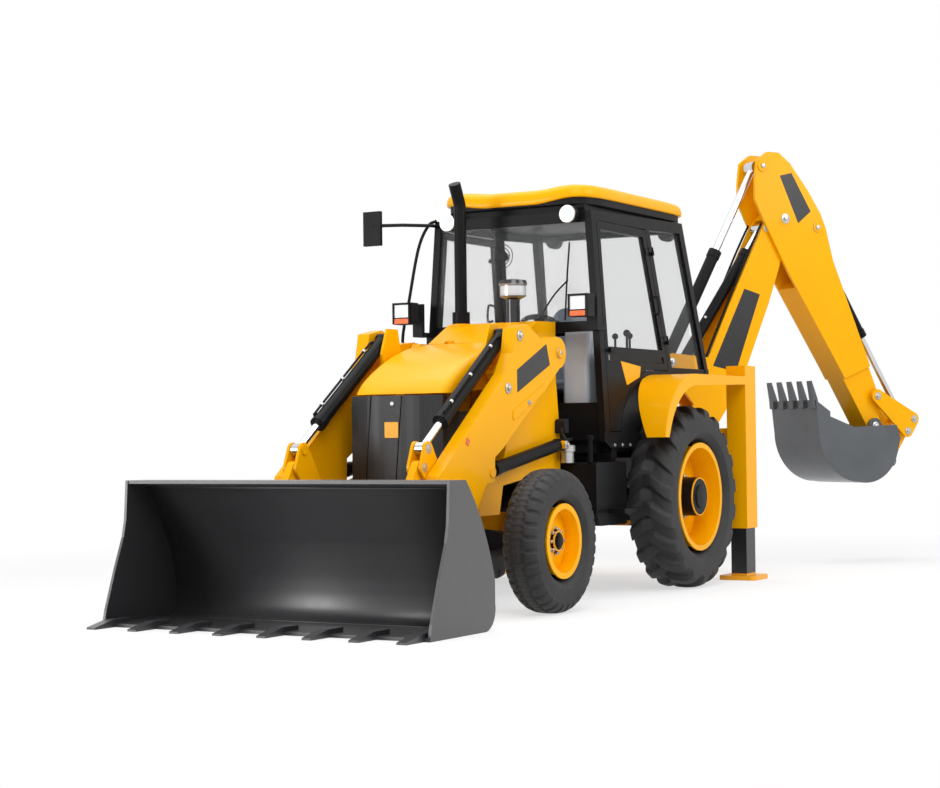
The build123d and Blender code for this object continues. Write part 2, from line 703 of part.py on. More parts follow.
# Cab floor with the pieces that stand on it: the rear wall and its shelf, the front console
# with the steering column and wheel, and the side consoles with levers
on_floor_z = cab_floor_z + face_gap
with BuildPart() as cab_interior:
    block(-150, 900, -cab_floor_half_width, cab_floor_half_width,
          rail_top_z + face_gap, cab_floor_z)
    block(-150, -110, -cab_floor_half_width, cab_floor_half_width, on_floor_z, 1480)
    block(-769, -110, -560, 560, 1480 + face_gap, 1510)
    block(600, 900, -140, 140, on_floor_z, 1560)
    block(-60, 420, -590, -440, on_floor_z, 1560)
    block(-60, 300, 440, 560, on_floor_z, 1490)
    column = plane_from(side_plane(0), (700, 1540), (480, 1800))
    rod_along(column, 0, span((700, 1540), (480, 1800)), 28)
    wheel_face = Plane(origin=(480, 0, 1800), x_dir=(0, 1, 0),
                       z_dir=(-(700 - 480), 0, 1800 - 1540))
    with BuildSketch(wheel_face) as spokes:
        Circle(195)
        Circle(170, mode=Mode.SUBTRACT)
        Rectangle(350, 34)
        Rectangle(34, 350)
    extrude(spokes.sketch, amount=13, both=True)
    for lever_x, lever_y, foot_z in ((300, -500, 1560), (180, 500, 1490)):
        with Locations((lever_x, lever_y, foot_z + 150)):
            Cylinder(9, 310)
        with Locations((lever_x, lever_y, foot_z + 310)):
            Sphere(26)
    for lever_y in (-180, -60, 60, 180):
        with Locations((-540, lever_y, 1660)):
            Cylinder(9, 320)
        with Locations((-540, lever_y, 1820)):
            Sphere(24)
keep(cab_interior, "cab_interior")

# Operator's seat: pedestal, cushion and back
with BuildPart() as operator_seat:
    block(0, 300, -170, 170, cab_floor_z + face_gap, 1370)
    slab(side_plane(0), [(-60, 1370), (430, 1370), (440, 1470), (-60, 1450)], 480, 25)
    slab(side_plane(0), [(-60, 1440), (70, 1440), (0, 2020), (-90, 2020)], 460, 30)
keep(operator_seat, "operator_seat")

# Head lamps beside the cowl, roof work lamps front and rear, lower tail lamps
with BuildPart() as lamp_housings:
    block(1190, 1290, 610, 750, 1860, 2010)
    with Locations((1130, 680, 1950)):
        Cylinder(14, 120, rotation=(0, 90, 0))
    block(1060, 1090, 640, 720, 1780, 2010)
    block(960.4 + face_gap, 1075, 625, 720, 1780, 1810)
    work_lamp_z = cab_roof_z - 73
    for x, held_x in ((990, 945 + face_gap), (-590, -540 - face_gap)):
        with Locations((x, 470, work_lamp_z)):
            Cylinder(58, 60, rotation=(0, 90, 0))
        block(x, held_x, 455, 485, work_lamp_z - 9, work_lamp_z + 21)
    both_sides()
keep(lamp_housings, "lamp_housings")
with BuildPart() as lamp_lenses:
    block(1290.3, 1300, 618, 742, 1905, 2002)
    block(1290.3, 1304, 618, 742, 1862, 1900)
    for x in (1025, -625):
        with Locations((x, 470, work_lamp_z)):
            Cylinder(50, 9, rotation=(0, 90, 0))
    both_sides()
keep(lamp_lenses, "lamp_lenses")

# Mirror on its stalk from the roof's right front corner
with BuildPart() as mirrors:
    with BuildLine() as stalk_route:
        mirror_z = cab_roof_z - 85
        mirror_foot_y = cab_half_width - 131
        FilletPolyline((950.6 + face_gap, -mirror_foot_y, mirror_z),
                       (1020, -mirror_foot_y, mirror_z), (1180, -740, mirror_z),
                       (1260, -930, mirror_z), radius=40)
    with BuildSketch(Plane(origin=stalk_route.wire() @ 0, z_dir=stalk_route.wire() % 0)):
        Circle(12)
    sweep(path=stalk_route.wire())
    block(1235, 1265, -1010, -870, mirror_z - 140, mirror_z + 100)
keep(mirrors, "mirrors")

# Rear frame: two cross rails, the middle plate and the upright leg tubes
tube_inner_y = leg_y - leg_tube_y / 2
with BuildPart() as rear_frame:
    for low, high in (lower_rail_z, upper_rail_z):
        block(frame_rail_rear_x, frame_rail_front_x, -tube_inner_y, tube_inner_y, low, high)
    for plate_y in (-420, 0, 420):
        block(frame_rail_rear_x + 40, frame_rail_front_x, plate_y - 20, plate_y + 20,
              lower_rail_z[1], upper_rail_z[0])
    for sign in (-1, 1):
        side = sign * leg_y
        block(leg_x - leg_tube_x / 2, leg_x + leg_tube_x / 2, side - leg_tube_y / 2,
              side + leg_tube_y / 2, leg_tube_bottom_z, leg_tube_top_z)
        block(leg_x - leg_tube_x / 2 + leg_wall, leg_x + leg_tube_x / 2 - leg_wall,
              side - leg_tube_y / 2 + leg_wall, side + leg_tube_y / 2 - leg_wall,
              leg_tube_bottom_z - 1, leg_tube_top_z - leg_wall, mode=Mode.SUBTRACT)
keep(rear_frame, "rear_frame")

# Stabiliser leg: inner tube, ram head and round-cornered pad on the ground
leg_play = 0.4
inner_x = leg_tube_x - 2 * leg_wall - 2 * leg_play
inner_y = leg_tube_y - 2 * leg_wall - 2 * leg_play
with BuildPart() as stabiliser_leg:
    block(leg_x - inner_x / 2, leg_x + inner_x / 2, leg_y - inner_y / 2,
          leg_y + inner_y / 2, pad_thickness - 2, 1060)
    with BuildSketch(Plane.XY) as pad:
        with Locations((leg_x, leg_y)):
            RectangleRounded(pad_size, pad_size, 40)
    extrude(pad.sketch, amount=pad_thickness)
keep_pair(stabiliser_leg, "stabiliser_leg_left", "stabiliser_leg_right")

# Loader arms: cranked box beams with ram ears, joined by a cross tube
arm_outline = [(1330, 1560), (1345, 1690), (1430, 1725), (1640, 1700), (1830, 1790),
               (1985, 1760), (2020, 1600), (2110, 1470), (2930, 850), (3010, 640),
               (3090, 340), (3060, 190), (2935, 285), (2620, 450), (2440, 700),
               (2370, 790), (2268, 800), (2265, 950), (2150, 1012), (1900, 1180),
               (1560, 1400)]
with BuildPart() as loader_arms:
    slab_between(side_plane, arm_inner_y, arm_outer_y, arm_outline)
    disc(side_plane((arm_inner_y + arm_outer_y) / 2), shovel_pivot, 85,
         arm_outer_y - arm_inner_y)
    disc(side_plane((arm_inner_y + arm_outer_y) / 2), arm_pivot, 100,
         arm_outer_y - arm_inner_y)
    slab_between(side_plane, 372, 392, [(1780, 1560), (1840, 1790), (1960, 1790),
                                        (2030, 1620), (2010, 1500)])
    slab_between(side_plane, 372, arm_inner_y + 1, [(1770, 1480), (1790, 1580), (1860, 1560),
                                                    (1990, 1480), (1960, 1440)])
    disc(side_plane((372 + arm_inner_y) / 2), shovel_ram_base, 24, arm_inner_y - 372)
    disc(side_plane((388 + arm_inner_y) / 2), lever_pivot, arm_pin_radius,
         arm_inner_y - 388)
    for pin in (arm_pivot, shovel_pivot):
        disc(side_plane(545), pin, arm_pin_radius + pin_gap, 200, mode=Mode.SUBTRACT)
    with BuildSketch(side_plane(lift_ram_y)) as pocket:
        with BuildLine():
            Polyline((1200, 940), (1200, 1165), (1980, 1165), (2434, 950), (2434, 775),
                     (2250, 735), close=True)
        make_face()
    extrude(pocket.sketch, amount=33, both=True, mode=Mode.SUBTRACT)
    disc(side_plane(arm_outer_y + 3), lift_ram_pin, 34, 8)
    both_sides()
    disc(side_plane(0), arm_tube, 50, 2 * arm_inner_y + 2)
keep(loader_arms, "loader_arms")

# Lift rams, lying under the arms
lift_length = span(lift_ram_base, lift_ram_pin)
with BuildPart() as lift_ram_barrels:
    ram_barrel(plane_from(side_plane(lift_ram_y), lift_ram_base, lift_ram_pin),
               890, 42, 24, 26, 56)
    both_sides()
keep(lift_ram_barrels, "lift_ram_barrels")
with BuildPart() as lift_ram_rods:
    ram_rod(plane_from(side_plane(lift_ram_y), lift_ram_base, lift_ram_pin),
            866, lift_length, 24, 24, 56)
    both_sides()
keep(lift_ram_rods, "lift_ram_rods")

# Shovel rams on top of the arms
shovel_ram_length = span(shovel_ram_base, lever_top_pin)
with BuildPart() as shovel_ram_barrels:
    ram_barrel(plane_from(side_plane(shovel_ram_y), shovel_ram_base, lever_top_pin),
               950, 46, 24, 24, 80)
    both_sides()
keep(shovel_ram_barrels, "shovel_ram_barrels")
with BuildPart() as shovel_ram_rods:
    ram_rod(plane_from(side_plane(shovel_ram_y), shovel_ram_base, lever_top_pin),
            900, shovel_ram_length, 24, 24, 50)
    both_sides()
keep(shovel_ram_rods, "shovel_ram_rods")

# Tipping levers: a pair of plates each side with the ram pin and the link pin
lever_plates = ((394, 414), (476, 494))
with BuildPart() as tipping_levers:
    for near, far in lever_plates:
        plane = side_plane((near + far) / 2)
        with BuildSketch(plane) as lever:
            for centre, radius in ((lever_pivot, 62), (lever_top_pin, 46),
                                   (lever_link_pin, 46)):
                with Locations(centre):
                    Circle(radius)
            make_hull()
            with Locations(lever_pivot):
                Circle(arm_pin_radius + pin_gap, mode=Mode.SUBTRACT)
        extrude(lever.sketch, amount=(far - near) / 2, both=True)
    disc(side_plane(444), lever_link_pin, 24, 100)
    disc(side_plane(392), lever_top_pin, 32, 8)
    both_sides()
keep(tipping_levers, "tipping_levers")
with BuildPart() as shovel_links:
    bar(side_plane(445), lever_link_pin, shovel_link_pin, 44, 36, 50)
    for pin in (lever_link_pin, shovel_link_pin):
        disc(side_plane(445), pin, 24 + pin_gap, 80, mode=Mode.SUBTRACT)
    both_sides()
keep(shovel_links, "shovel_links")

# Shovel: rolled shell between side plates, with ears behind and teeth in front


def shovel_back(heel, heel_middle, heel_top, bend, back_middle, top):
    """The rolled back of the shovel in side view: a heel arc, a flat and a long arc."""
    ThreePointArc(heel, heel_middle, heel_top)
    Line(heel_top, bend)
    ThreePointArc(bend, back_middle, top)


half_shovel = shovel_width / 2
with BuildPart() as shovel:
    with BuildSketch(side_plane(0)) as shell:
        with BuildLine():
            shovel_back((3330, 0), (3252, 44), (3226, 150), (3226, 281), (3322, 530),
                        (3534, shovel_top_z))
            Polyline((3534, shovel_top_z), (3700, shovel_top_z), (3700, shovel_top_z - 20),
                     (3546, shovel_top_z - 20))
            shovel_back((3334, 20), (3270, 60), (3246, 150), (3246, 277), (3341, 520),
                        (3546, shovel_top_z - 20))
            Polyline((3334, 20), (shovel_lip_x, 20), (shovel_lip_x, 0), (3330, 0))
        make_face()
    extrude(shell.sketch, amount=half_shovel, both=True)
    for sign in (-1, 1):
        cheek_plane = side_plane(sign * (half_shovel - shovel_plate / 2))
        with BuildSketch(cheek_plane) as side_plate:
            with BuildLine():
                shovel_back((3330, 0), (3252, 44), (3226, 150), (3226, 281), (3322, 530),
                            (3534, shovel_top_z))
                Polyline((3534, shovel_top_z), (3705, shovel_top_z), (3722, 609), (3745, 510),
                         (3821, 322), (3905, 90), (shovel_lip_x, 0), (3330, 0))
            make_face()
        extrude(side_plate.sketch, amount=shovel_plate / 2, both=True)
        for near, far in ((395, 415), (476, 494), (596, 616)):
            plane = side_plane(sign * (near + far) / 2)
            with BuildSketch(plane) as lug:
                with BuildLine():
                    Polyline((3240, 120), (3236, 275), (3300, 468), (3355, 560),
                             (3230, 545), (3170, 505), (3050, 300), (3050, 190),
                             (3110, 160), close=True)
                make_face()
                fillet(lug.vertices().group_by(Axis.X)[0], 20)
            extrude(lug.sketch, amount=(far - near) / 2, both=True)
        disc(side_plane(sign * 545), shovel_pivot, arm_pin_radius, 142)
        disc(side_plane(sign * 393), shovel_link_pin, 32, 8)
        disc(side_plane(sign * 496), shovel_link_pin, 32, 8)
    tooth = [(3790, 19), (3790, 46), (shovel_lip_x + 10, 46),
             (shovel_lip_x + tooth_length, 12), (shovel_lip_x + tooth_length, 0),
             (shovel_lip_x - 5, 0), (shovel_lip_x - 5, 19)]
    tooth_pitch = (shovel_width - 140) / (tooth_count - 1)
    for number in range(tooth_count):
        tooth_y = -shovel_width / 2 + 70 + number * tooth_pitch
        slab(side_plane(tooth_y), tooth, tooth_width)
keep(shovel, "shovel")

# Sideshift carriage: back plate hooked over the rails, with two slew lugs
carriage_front_x = frame_rail_rear_x - slide_gap
lug_levels = ((420, 500), (900, 985))
with BuildPart() as sideshift_carriage:
    block(-1165, carriage_front_x, -240, 240, 400, 1150)
    block(carriage_front_x, -870, -240, 240, upper_rail_z[1] + slide_gap, 1150)
    block(carriage_front_x, -870, -240, 240, 385, lower_rail_z[0] - slide_gap)
    block(-1166, carriage_front_x, -240, 240, 385, 401)
    for low, high in lug_levels:
        with BuildSketch(Plane.XY.offset(low)) as lug:
            with Locations((slew_x, 0)):
                Circle(120)
            with Locations((-1160, 0)):
                Rectangle(60, 240)
            make_hull()
        extrude(lug.sketch, amount=high - low)
        with Locations((slew_x, 0, (low + high) / 2)):
            Cylinder(slew_pin_radius + pin_gap, high - low + 2, mode=Mode.SUBTRACT)
keep(sideshift_carriage, "sideshift_carriage")

# Kingpost: slew barrel, web and two cheeks with the boom foot pin and the ram pin
cheek = (112, 145)
cheek_profile = [(140, 450), (250, 520), (370, 880), (375, 1010), (300, 1055),
                 (150, 1200), (95, 1350), (20, 1378), (-50, 1330), (-45, 1020),
                 (138, 1000), (142, 900), (142, 800)]
with BuildPart() as kingpost:
    for sign in (-1, 1):
        slab(swing_plane(sign * (cheek[0] + cheek[1]) / 2), cheek_profile,
             cheek[1] - cheek[0], 12)
    slab(swing_plane(0), [(0, 506), (200, 506), (230, 700), (200, 840), (0, 840)],
         2 * cheek[0] + 2)
    with Locations((slew_x, 0, 700)):
        Cylinder(95, 388)
    with Locations((slew_x, 0, 702)):
        Cylinder(slew_pin_radius, 560)
    disc(swing_plane(0), boom_foot, digger_pin_radius, 2 * cheek[1])
    disc(swing_plane(0), boom_ram_base, 30, 2 * cheek[1])
keep(kingpost, "kingpost")

# Boom: box beam with side flanges, a channel for its ram and brackets for the next ram
boom_length = span(boom_foot, dipper_pivot)
boom_ram_pin = (1950, 110)
dipper_ram_base = (550, 460)


def boom_side(offset):
    return plane_from(swing_plane(offset), boom_foot, dipper_pivot)


boom_profile = [(-60, -70), (-60, 60), (200, 110), (500, 165), (1200, 170), (1950, 150),
                (boom_length + 60, 85), (boom_length + 60, -70), (1950, -110),
                (1400, -170), (700, -205), (350, -150), (60, -90)]
channel_half_width = 76
with BuildPart() as boom:
    slab(boom_side(0), boom_profile, 2 * boom_half_width, 15)
    disc(boom_side(0), (0, 0), 92, 2 * boom_half_width)
    disc(boom_side(0), (boom_length, 0), 100, 2 * boom_half_width)
    slab(boom_side(0), [(-200, 40), (70, 40), (300, 0), (1130, -30), (2000, -70),
                        (boom_length - 70, -70), (boom_length - 70, 300), (-200, 300)],
         2 * channel_half_width, mode=Mode.SUBTRACT)
    for sign in (-1, 1):
        slab(boom_side(sign * (boom_half_width + channel_half_width) / 2),
             [(330, 100), (480, 480), (510, 515), (590, 515), (620, 480), (760, 120)],
             boom_half_width - channel_half_width)
        disc(boom_side(sign * boom_half_width), boom_ram_pin, 42, 8)
    disc(boom_side(0), dipper_ram_base, 30, 2 * boom_half_width)
    for pin in ((0, 0), (boom_length, 0)):
        disc(boom_side(0), pin, digger_pin_radius + pin_gap, 300, mode=Mode.SUBTRACT)
keep(boom, "boom")

# Boom ram, lying in the boom's channel above its foot
boom_ram_tip = on_plane(boom_side(0), boom_ram_pin)
boom_ram_plane = plane_from(swing_plane(0), boom_ram_base, boom_ram_tip)
boom_ram_length = span(boom_ram_base, boom_ram_tip)
with BuildPart() as boom_ram_barrel:
    ram_barrel(boom_ram_plane, 1540, 44, 28, 30, 110)
keep(boom_ram_barrel, "boom_ram_barrel")
with BuildPart() as boom_ram_rod:
    ram_rod(boom_ram_plane, 1400, boom_ram_length, 28, 28, 110)
keep(boom_ram_rod, "boom_ram_rod")

# Dipper: two side plates round the boom's head, closing to a box and a narrow nose
dipper_length = span(dipper_pivot, bucket_pivot)
dipper_ram_pin = (-473, 0)
bucket_ram_base = (204, 258)
bucket_lever_pin = (1700, 126)
fork_half_width = boom_half_width + 5
nose_half_width = 105


def dipper_side(offset):
    return plane_from(swing_plane(offset), dipper_pivot, bucket_pivot)


dipper_profile = [(-554, 100), (-537, -25), (-400, -120), (-262, -195), (-64, -198),
                  (423, -180), (1290, -99), (1850, -62), (dipper_length + 30, -60),
                  (dipper_length + 66, 0), (dipper_length + 30, 62), (1740, 170),
                  (1600, 185), (510, 275), (250, 335), (120, 345), (-100, 320),
                  (-377, 262), (-500, 200)]
with BuildPart() as dipper:
    slab(dipper_side(0), dipper_profile, 2 * dipper_half_width, 25)
    slab(dipper_side(0), [(-700, -400), (560, -400), (520, 180), (1150, 178), (1330, 240),
                          (1300, 500), (-700, 500)], 2 * fork_half_width,
         mode=Mode.SUBTRACT)
    for sign in (-1, 1):
        outer = (dipper_half_width + nose_half_width) / 2 + 0.5
        slab(dipper_side(sign * outer), [(1400, -300), (2100, -300), (2100, 400), (1480, 400)],
             dipper_half_width - nose_half_width + 1, mode=Mode.SUBTRACT)
        disc(dipper_side(sign * (dipper_half_width + 3)), dipper_ram_pin, 46, 16)
        disc(dipper_side(sign * (dipper_half_width + 3)), bucket_ram_base, 40, 16)
        disc(dipper_side(sign * (dipper_half_width - 12)), (0, 0), 60, 30)
    disc(dipper_side(0), (0, 0), digger_pin_radius, 2 * dipper_half_width)
    disc(dipper_side(0), bucket_ram_base, 28, 2 * dipper_half_width)
    disc(dipper_side(0), bucket_lever_pin, 28 + pin_gap, 300, mode=Mode.SUBTRACT)
    disc(dipper_side(0), (dipper_length, 0), digger_pin_radius + pin_gap, 300,
         mode=Mode.SUBTRACT)
keep(dipper, "dipper")

# Dipper ram, above the boom
dipper_ram_foot = on_plane(boom_side(0), dipper_ram_base)
dipper_ram_tip = on_plane(dipper_side(0), dipper_ram_pin)
dipper_ram_plane = plane_from(swing_plane(0), dipper_ram_foot, dipper_ram_tip)
with BuildPart() as dipper_ram_barrel:
    ram_barrel(dipper_ram_plane, 1030, 48, 30, 30, 110)
keep(dipper_ram_barrel, "dipper_ram_barrel")
with BuildPart() as dipper_ram_rod:
    ram_rod(dipper_ram_plane, 960, span(dipper_ram_foot, dipper_ram_tip), 30, 30, 110)
keep(dipper_ram_rod, "dipper_ram_rod")

# Bucket ram, on the outside of the dipper
lever_ram_pin = (2050, 373)
lever_tip_pin = (2107, 267)
bucket_ram_plane = plane_from(dipper_side(0), bucket_ram_base, lever_ram_pin)
bucket_ram_length = span(bucket_ram_base, lever_ram_pin)
with BuildPart() as bucket_ram_barrel:
    ram_barrel(bucket_ram_plane, 1040, 46, 26, 28, 110)
keep(bucket_ram_barrel, "bucket_ram_barrel")
with BuildPart() as bucket_ram_rod:
    ram_rod(bucket_ram_plane, 1000, bucket_ram_length, 26, 26, 60)
keep(bucket_ram_rod, "bucket_ram_rod")

# Bucket lever: a plate each side of the dipper's nose, and the link to the bucket
lever_plate = (nose_half_width + 33, nose_half_width + 53)
bucket_link_pin = (2249, 10)
with BuildPart() as bucket_lever:
    for sign in (-1, 1):
        plane = dipper_side(sign * (lever_plate[0] + lever_plate[1]) / 2)
        with BuildSketch(plane) as lever:
            for centre, radius in ((bucket_lever_pin, 56), (lever_ram_pin, 52),
                                   (lever_tip_pin, 52)):
                with Locations(centre):
                    Circle(radius)
            make_hull()
        extrude(lever.sketch, amount=(lever_plate[1] - lever_plate[0]) / 2, both=True)
        disc(dipper_side(sign * 119), lever_ram_pin, 36, 40)
    disc(dipper_side(0), bucket_lever_pin, 28, 2 * lever_plate[0] + 2)
    disc(dipper_side(0), lever_tip_pin, 26, 2 * lever_plate[0] + 2)
keep(bucket_lever, "bucket_lever")
with BuildPart() as bucket_link:
    bar(dipper_side(0), lever_tip_pin, bucket_link_pin, 44, 40, 2 * nose_half_width - 10)
    disc(dipper_side(0), lever_tip_pin, 26 + pin_gap, 300, mode=Mode.SUBTRACT)
    disc(dipper_side(0), bucket_link_pin, 22, 300, mode=Mode.SUBTRACT)
keep(bucket_link, "bucket_link")

# Digging bucket: rolled shell between shaped sides, hinge ears and five teeth
bucket_wall = 16
bucket_tooth_count = 5
with BuildPart() as digging_bucket:
    with BuildSketch(swing_plane(0)) as shell:
        with BuildLine():
            Line((1354, 1344), (1385, 1080))
            ThreePointArc((1385, 1080), (1500, 800), (1790, 672))
            ThreePointArc((1790, 672), (2040, 712), (2175, 860))
            Polyline((2175, 860), (2200, 930), (1985, 1030), (1960, 1128), (1750, 1122),
                     (1500, 1215), (1354, 1344))
        make_face()
        offset(amount=-bucket_wall, mode=Mode.SUBTRACT)
        with BuildLine():
            Polyline((1300, 1500), (1368, 1330), (1374, 1280), (1500, 1190), (1750, 1095),
                     (1946, 1100), (1965, 1180), (1700, 1400), close=True)
        make_face(mode=Mode.SUBTRACT)
    extrude(shell.sketch, amount=bucket_half_width, both=True)
    for sign in (-1, 1):
        with BuildSketch(swing_plane(sign * (bucket_half_width - bucket_wall / 2))) as cheek_plate:
            with BuildLine():
                Line((1354, 1344), (1385, 1080))
                ThreePointArc((1385, 1080), (1500, 800), (1790, 672))
                ThreePointArc((1790, 672), (2040, 712), (2175, 860))
                Polyline((2175, 860), (2226, 1027), (2185, 1138), (1750, 1120),
                         (1500, 1210), (1500, 1250), (1354, 1344))
            make_face()
        extrude(cheek_plate.sketch, amount=bucket_wall / 2, both=True)
        ear_near = nose_half_width + 5
        ear_plane = swing_plane(sign * (ear_near + 12))
        link_at = on_plane(dipper_side(0), bucket_link_pin)
        with BuildSketch(ear_plane) as ear:
            with Locations(bucket_pivot):
                Circle(66)
            with Locations(link_at):
                Circle(50)
            with Locations((2100, 950)):
                Circle(60)
            make_hull()
        extrude(ear.sketch, amount=12, both=True)
        disc(swing_plane(sign * (ear_near + 12)), bucket_pivot, 60, 24)
    disc(swing_plane(0), bucket_pivot, digger_pin_radius, 2 * nose_half_width + 40)
    for number in range(bucket_tooth_count):
        tooth_at = (number / (bucket_tooth_count - 1) - 0.5) * 2 * (bucket_half_width - 32)
        slab(swing_plane(tooth_at), [(1335, 1280), (1392, 1270), (1380, 1350), (1322, 1500),
                                     (1306, 1497), (1330, 1350)], 50)
keep(digging_bucket, "digging_bucket")

# The origin is on the ground below the middle of the whole machine
boxes = [part.bounding_box() for part in finished]
middle_x = (min(box.min.X for box in boxes) + max(box.max.X for box in boxes)) / 2
middle_y = (min(box.min.Y for box in boxes) + max(box.max.Y for box in boxes)) / 2
to_origin = Location((-middle_x, -middle_y, 0))
os.makedirs("parts", exist_ok=True)
for part in finished:
    placed = part.moved(to_origin)
    placed.label = part.label
    export_step(placed, f"parts/{part.label}.step")
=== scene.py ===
from math import cos, pi, radians, sin

import bmesh
import bpy
import numpy as np
from mathutils import Matrix, Vector


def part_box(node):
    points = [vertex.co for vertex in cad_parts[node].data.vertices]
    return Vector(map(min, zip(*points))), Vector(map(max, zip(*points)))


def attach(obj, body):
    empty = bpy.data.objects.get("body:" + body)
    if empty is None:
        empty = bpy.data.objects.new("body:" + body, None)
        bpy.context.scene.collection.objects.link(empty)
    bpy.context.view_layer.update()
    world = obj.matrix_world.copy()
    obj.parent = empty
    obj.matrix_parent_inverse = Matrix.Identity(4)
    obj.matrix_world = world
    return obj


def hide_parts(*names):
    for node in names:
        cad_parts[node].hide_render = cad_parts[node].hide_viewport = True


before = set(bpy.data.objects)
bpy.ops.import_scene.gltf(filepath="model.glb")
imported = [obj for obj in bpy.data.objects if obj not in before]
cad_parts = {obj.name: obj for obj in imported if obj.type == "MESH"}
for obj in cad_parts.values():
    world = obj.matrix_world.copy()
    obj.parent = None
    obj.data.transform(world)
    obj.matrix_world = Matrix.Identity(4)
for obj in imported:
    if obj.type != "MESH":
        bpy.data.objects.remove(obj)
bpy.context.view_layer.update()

# Camera at the photograph's place, at waist height ahead of the machine and to its left.
# Its place is counted in metres from the ground below the middle of the rear axle.
axle_low, axle_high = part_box("rear_axle")
machine = Vector(((axle_low.x + axle_high.x) / 2, (axle_low.y + axle_high.y) / 2, 0))
camera_yaw = radians(30.07)
camera_pitch = radians(1.26)
camera_roll = radians(-0.70)
camera_ahead, camera_left, camera_height = 12.759, 6.493, 1.077
look = Vector((-cos(camera_yaw) * cos(camera_pitch), -sin(camera_yaw) * cos(camera_pitch),
               sin(camera_pitch)))
level_right = Vector((look.y, -look.x, 0)).normalized()
level_up = level_right.cross(look)
right = cos(camera_roll) * level_right + sin(camera_roll) * level_up
up = -sin(camera_roll) * level_right + cos(camera_roll) * level_up
camera = bpy.data.objects.new("camera", bpy.data.cameras.new("camera"))
camera.data.sensor_width = 36
camera.data.lens = 75.12
camera.data.clip_end = 200
camera.matrix_world = Matrix(((right.x, up.x, -look.x, camera_ahead + machine.x),
                              (right.y, up.y, -look.y, camera_left + machine.y),
                              (right.z, up.z, -look.z, camera_height), (0, 0, 0, 1)))
bpy.context.collection.objects.link(camera)
bpy.context.scene.camera = camera
bpy.context.scene.view_settings.view_transform = "Standard"


# Studio: a pale floor that fades into a white room, with four large soft lamps.
# The room is white to the camera and in reflections, and dimmer as a light.
def seen_rays(tree):
    """A share of one for rays from the camera, off a mirror or through glass, else zero."""
    path = tree.nodes.new("ShaderNodeLightPath")
    seen = path.outputs["Is Camera Ray"]
    for kind in ("Is Glossy Ray", "Is Transmission Ray"):
        either = tree.nodes.new("ShaderNodeMath")
        either.operation = "MAXIMUM"
        tree.links.new(seen, either.inputs[0])
        tree.links.new(path.outputs[kind], either.inputs[1])
        seen = either.outputs["Value"]
    return seen


room = bpy.data.worlds.new("studio_room")
bpy.context.scene.world = room
room.use_nodes = True
room_nodes = room.node_tree.nodes
room_links = room.node_tree.links
room_light = room_nodes["Background"]
room_light.inputs["Color"].default_value = (0.93, 0.95, 1.0, 1)
room_light.inputs["Strength"].default_value = 0.38
room_seen = room_nodes.new("ShaderNodeBackground")
room_seen.inputs["Color"].default_value = (1, 1, 1, 1)
room_seen.inputs["Strength"].default_value = 1.0
room_mix = room_nodes.new("ShaderNodeMixShader")
room_links.new(seen_rays(room.node_tree), room_mix.inputs[0])
room_links.new(room_light.outputs[0], room_mix.inputs[1])
room_links.new(room_seen.outputs[0], room_mix.inputs[2])
room_links.new(room_mix.outputs[0], room_nodes["World Output"].inputs["Surface"])

floor_half = 90
floor = bpy.data.objects.new("floor", bpy.data.meshes.new("floor"))
floor.data.from_pydata([(-floor_half, -floor_half, 0), (floor_half, -floor_half, 0),
                        (floor_half, floor_half, 0), (-floor_half, floor_half, 0)], [],
                       [(0, 1, 2, 3)])
bpy.context.collection.objects.link(floor)
floor_finish = bpy.data.materials.new("floor_paper")
floor_finish.use_nodes = True
floor_shader = floor_finish.node_tree.nodes["Principled BSDF"]
floor_shader.inputs["Base Color"].default_value = (0.94, 0.94, 0.94, 1)
floor_shader.inputs["Roughness"].default_value = 0.9
floor_shader.inputs["Specular IOR Level"].default_value = 0.0
# Of what the camera sees of the paper, 0.6 is plain white near the machine, and all of it
# from 8 metres out.
floor_nodes = floor_finish.node_tree.nodes
floor_links = floor_finish.node_tree.links
floor_place = floor_nodes.new("ShaderNodeTexCoord")
floor_far = floor_nodes.new("ShaderNodeVectorMath")
floor_far.operation = "LENGTH"
floor_fade = floor_nodes.new("ShaderNodeMapRange")
floor_fade.interpolation_type = "SMOOTHSTEP"
floor_fade.inputs["From Min"].default_value = 3.5
floor_fade.inputs["From Max"].default_value = 8.0
floor_fade.inputs["To Min"].default_value = 0.6
floor_share = floor_nodes.new("ShaderNodeMath")
floor_share.operation = "MULTIPLY"
floor_white = floor_nodes.new("ShaderNodeEmission")
floor_mix = floor_nodes.new("ShaderNodeMixShader")
floor_links.new(floor_place.outputs["Object"], floor_far.inputs[0])
floor_links.new(floor_far.outputs["Value"], floor_fade.inputs["Value"])
floor_links.new(floor_fade.outputs["Result"], floor_share.inputs[0])
floor_links.new(seen_rays(floor_finish.node_tree), floor_share.inputs[1])
floor_links.new(floor_share.outputs["Value"], floor_mix.inputs[0])
floor_links.new(floor_shader.outputs[0], floor_mix.inputs[1])
floor_links.new(floor_white.outputs[0], floor_mix.inputs[2])
floor_links.new(floor_mix.outputs[0], floor_nodes["Material Output"].inputs["Surface"])
floor.data.materials.append(floor_finish)

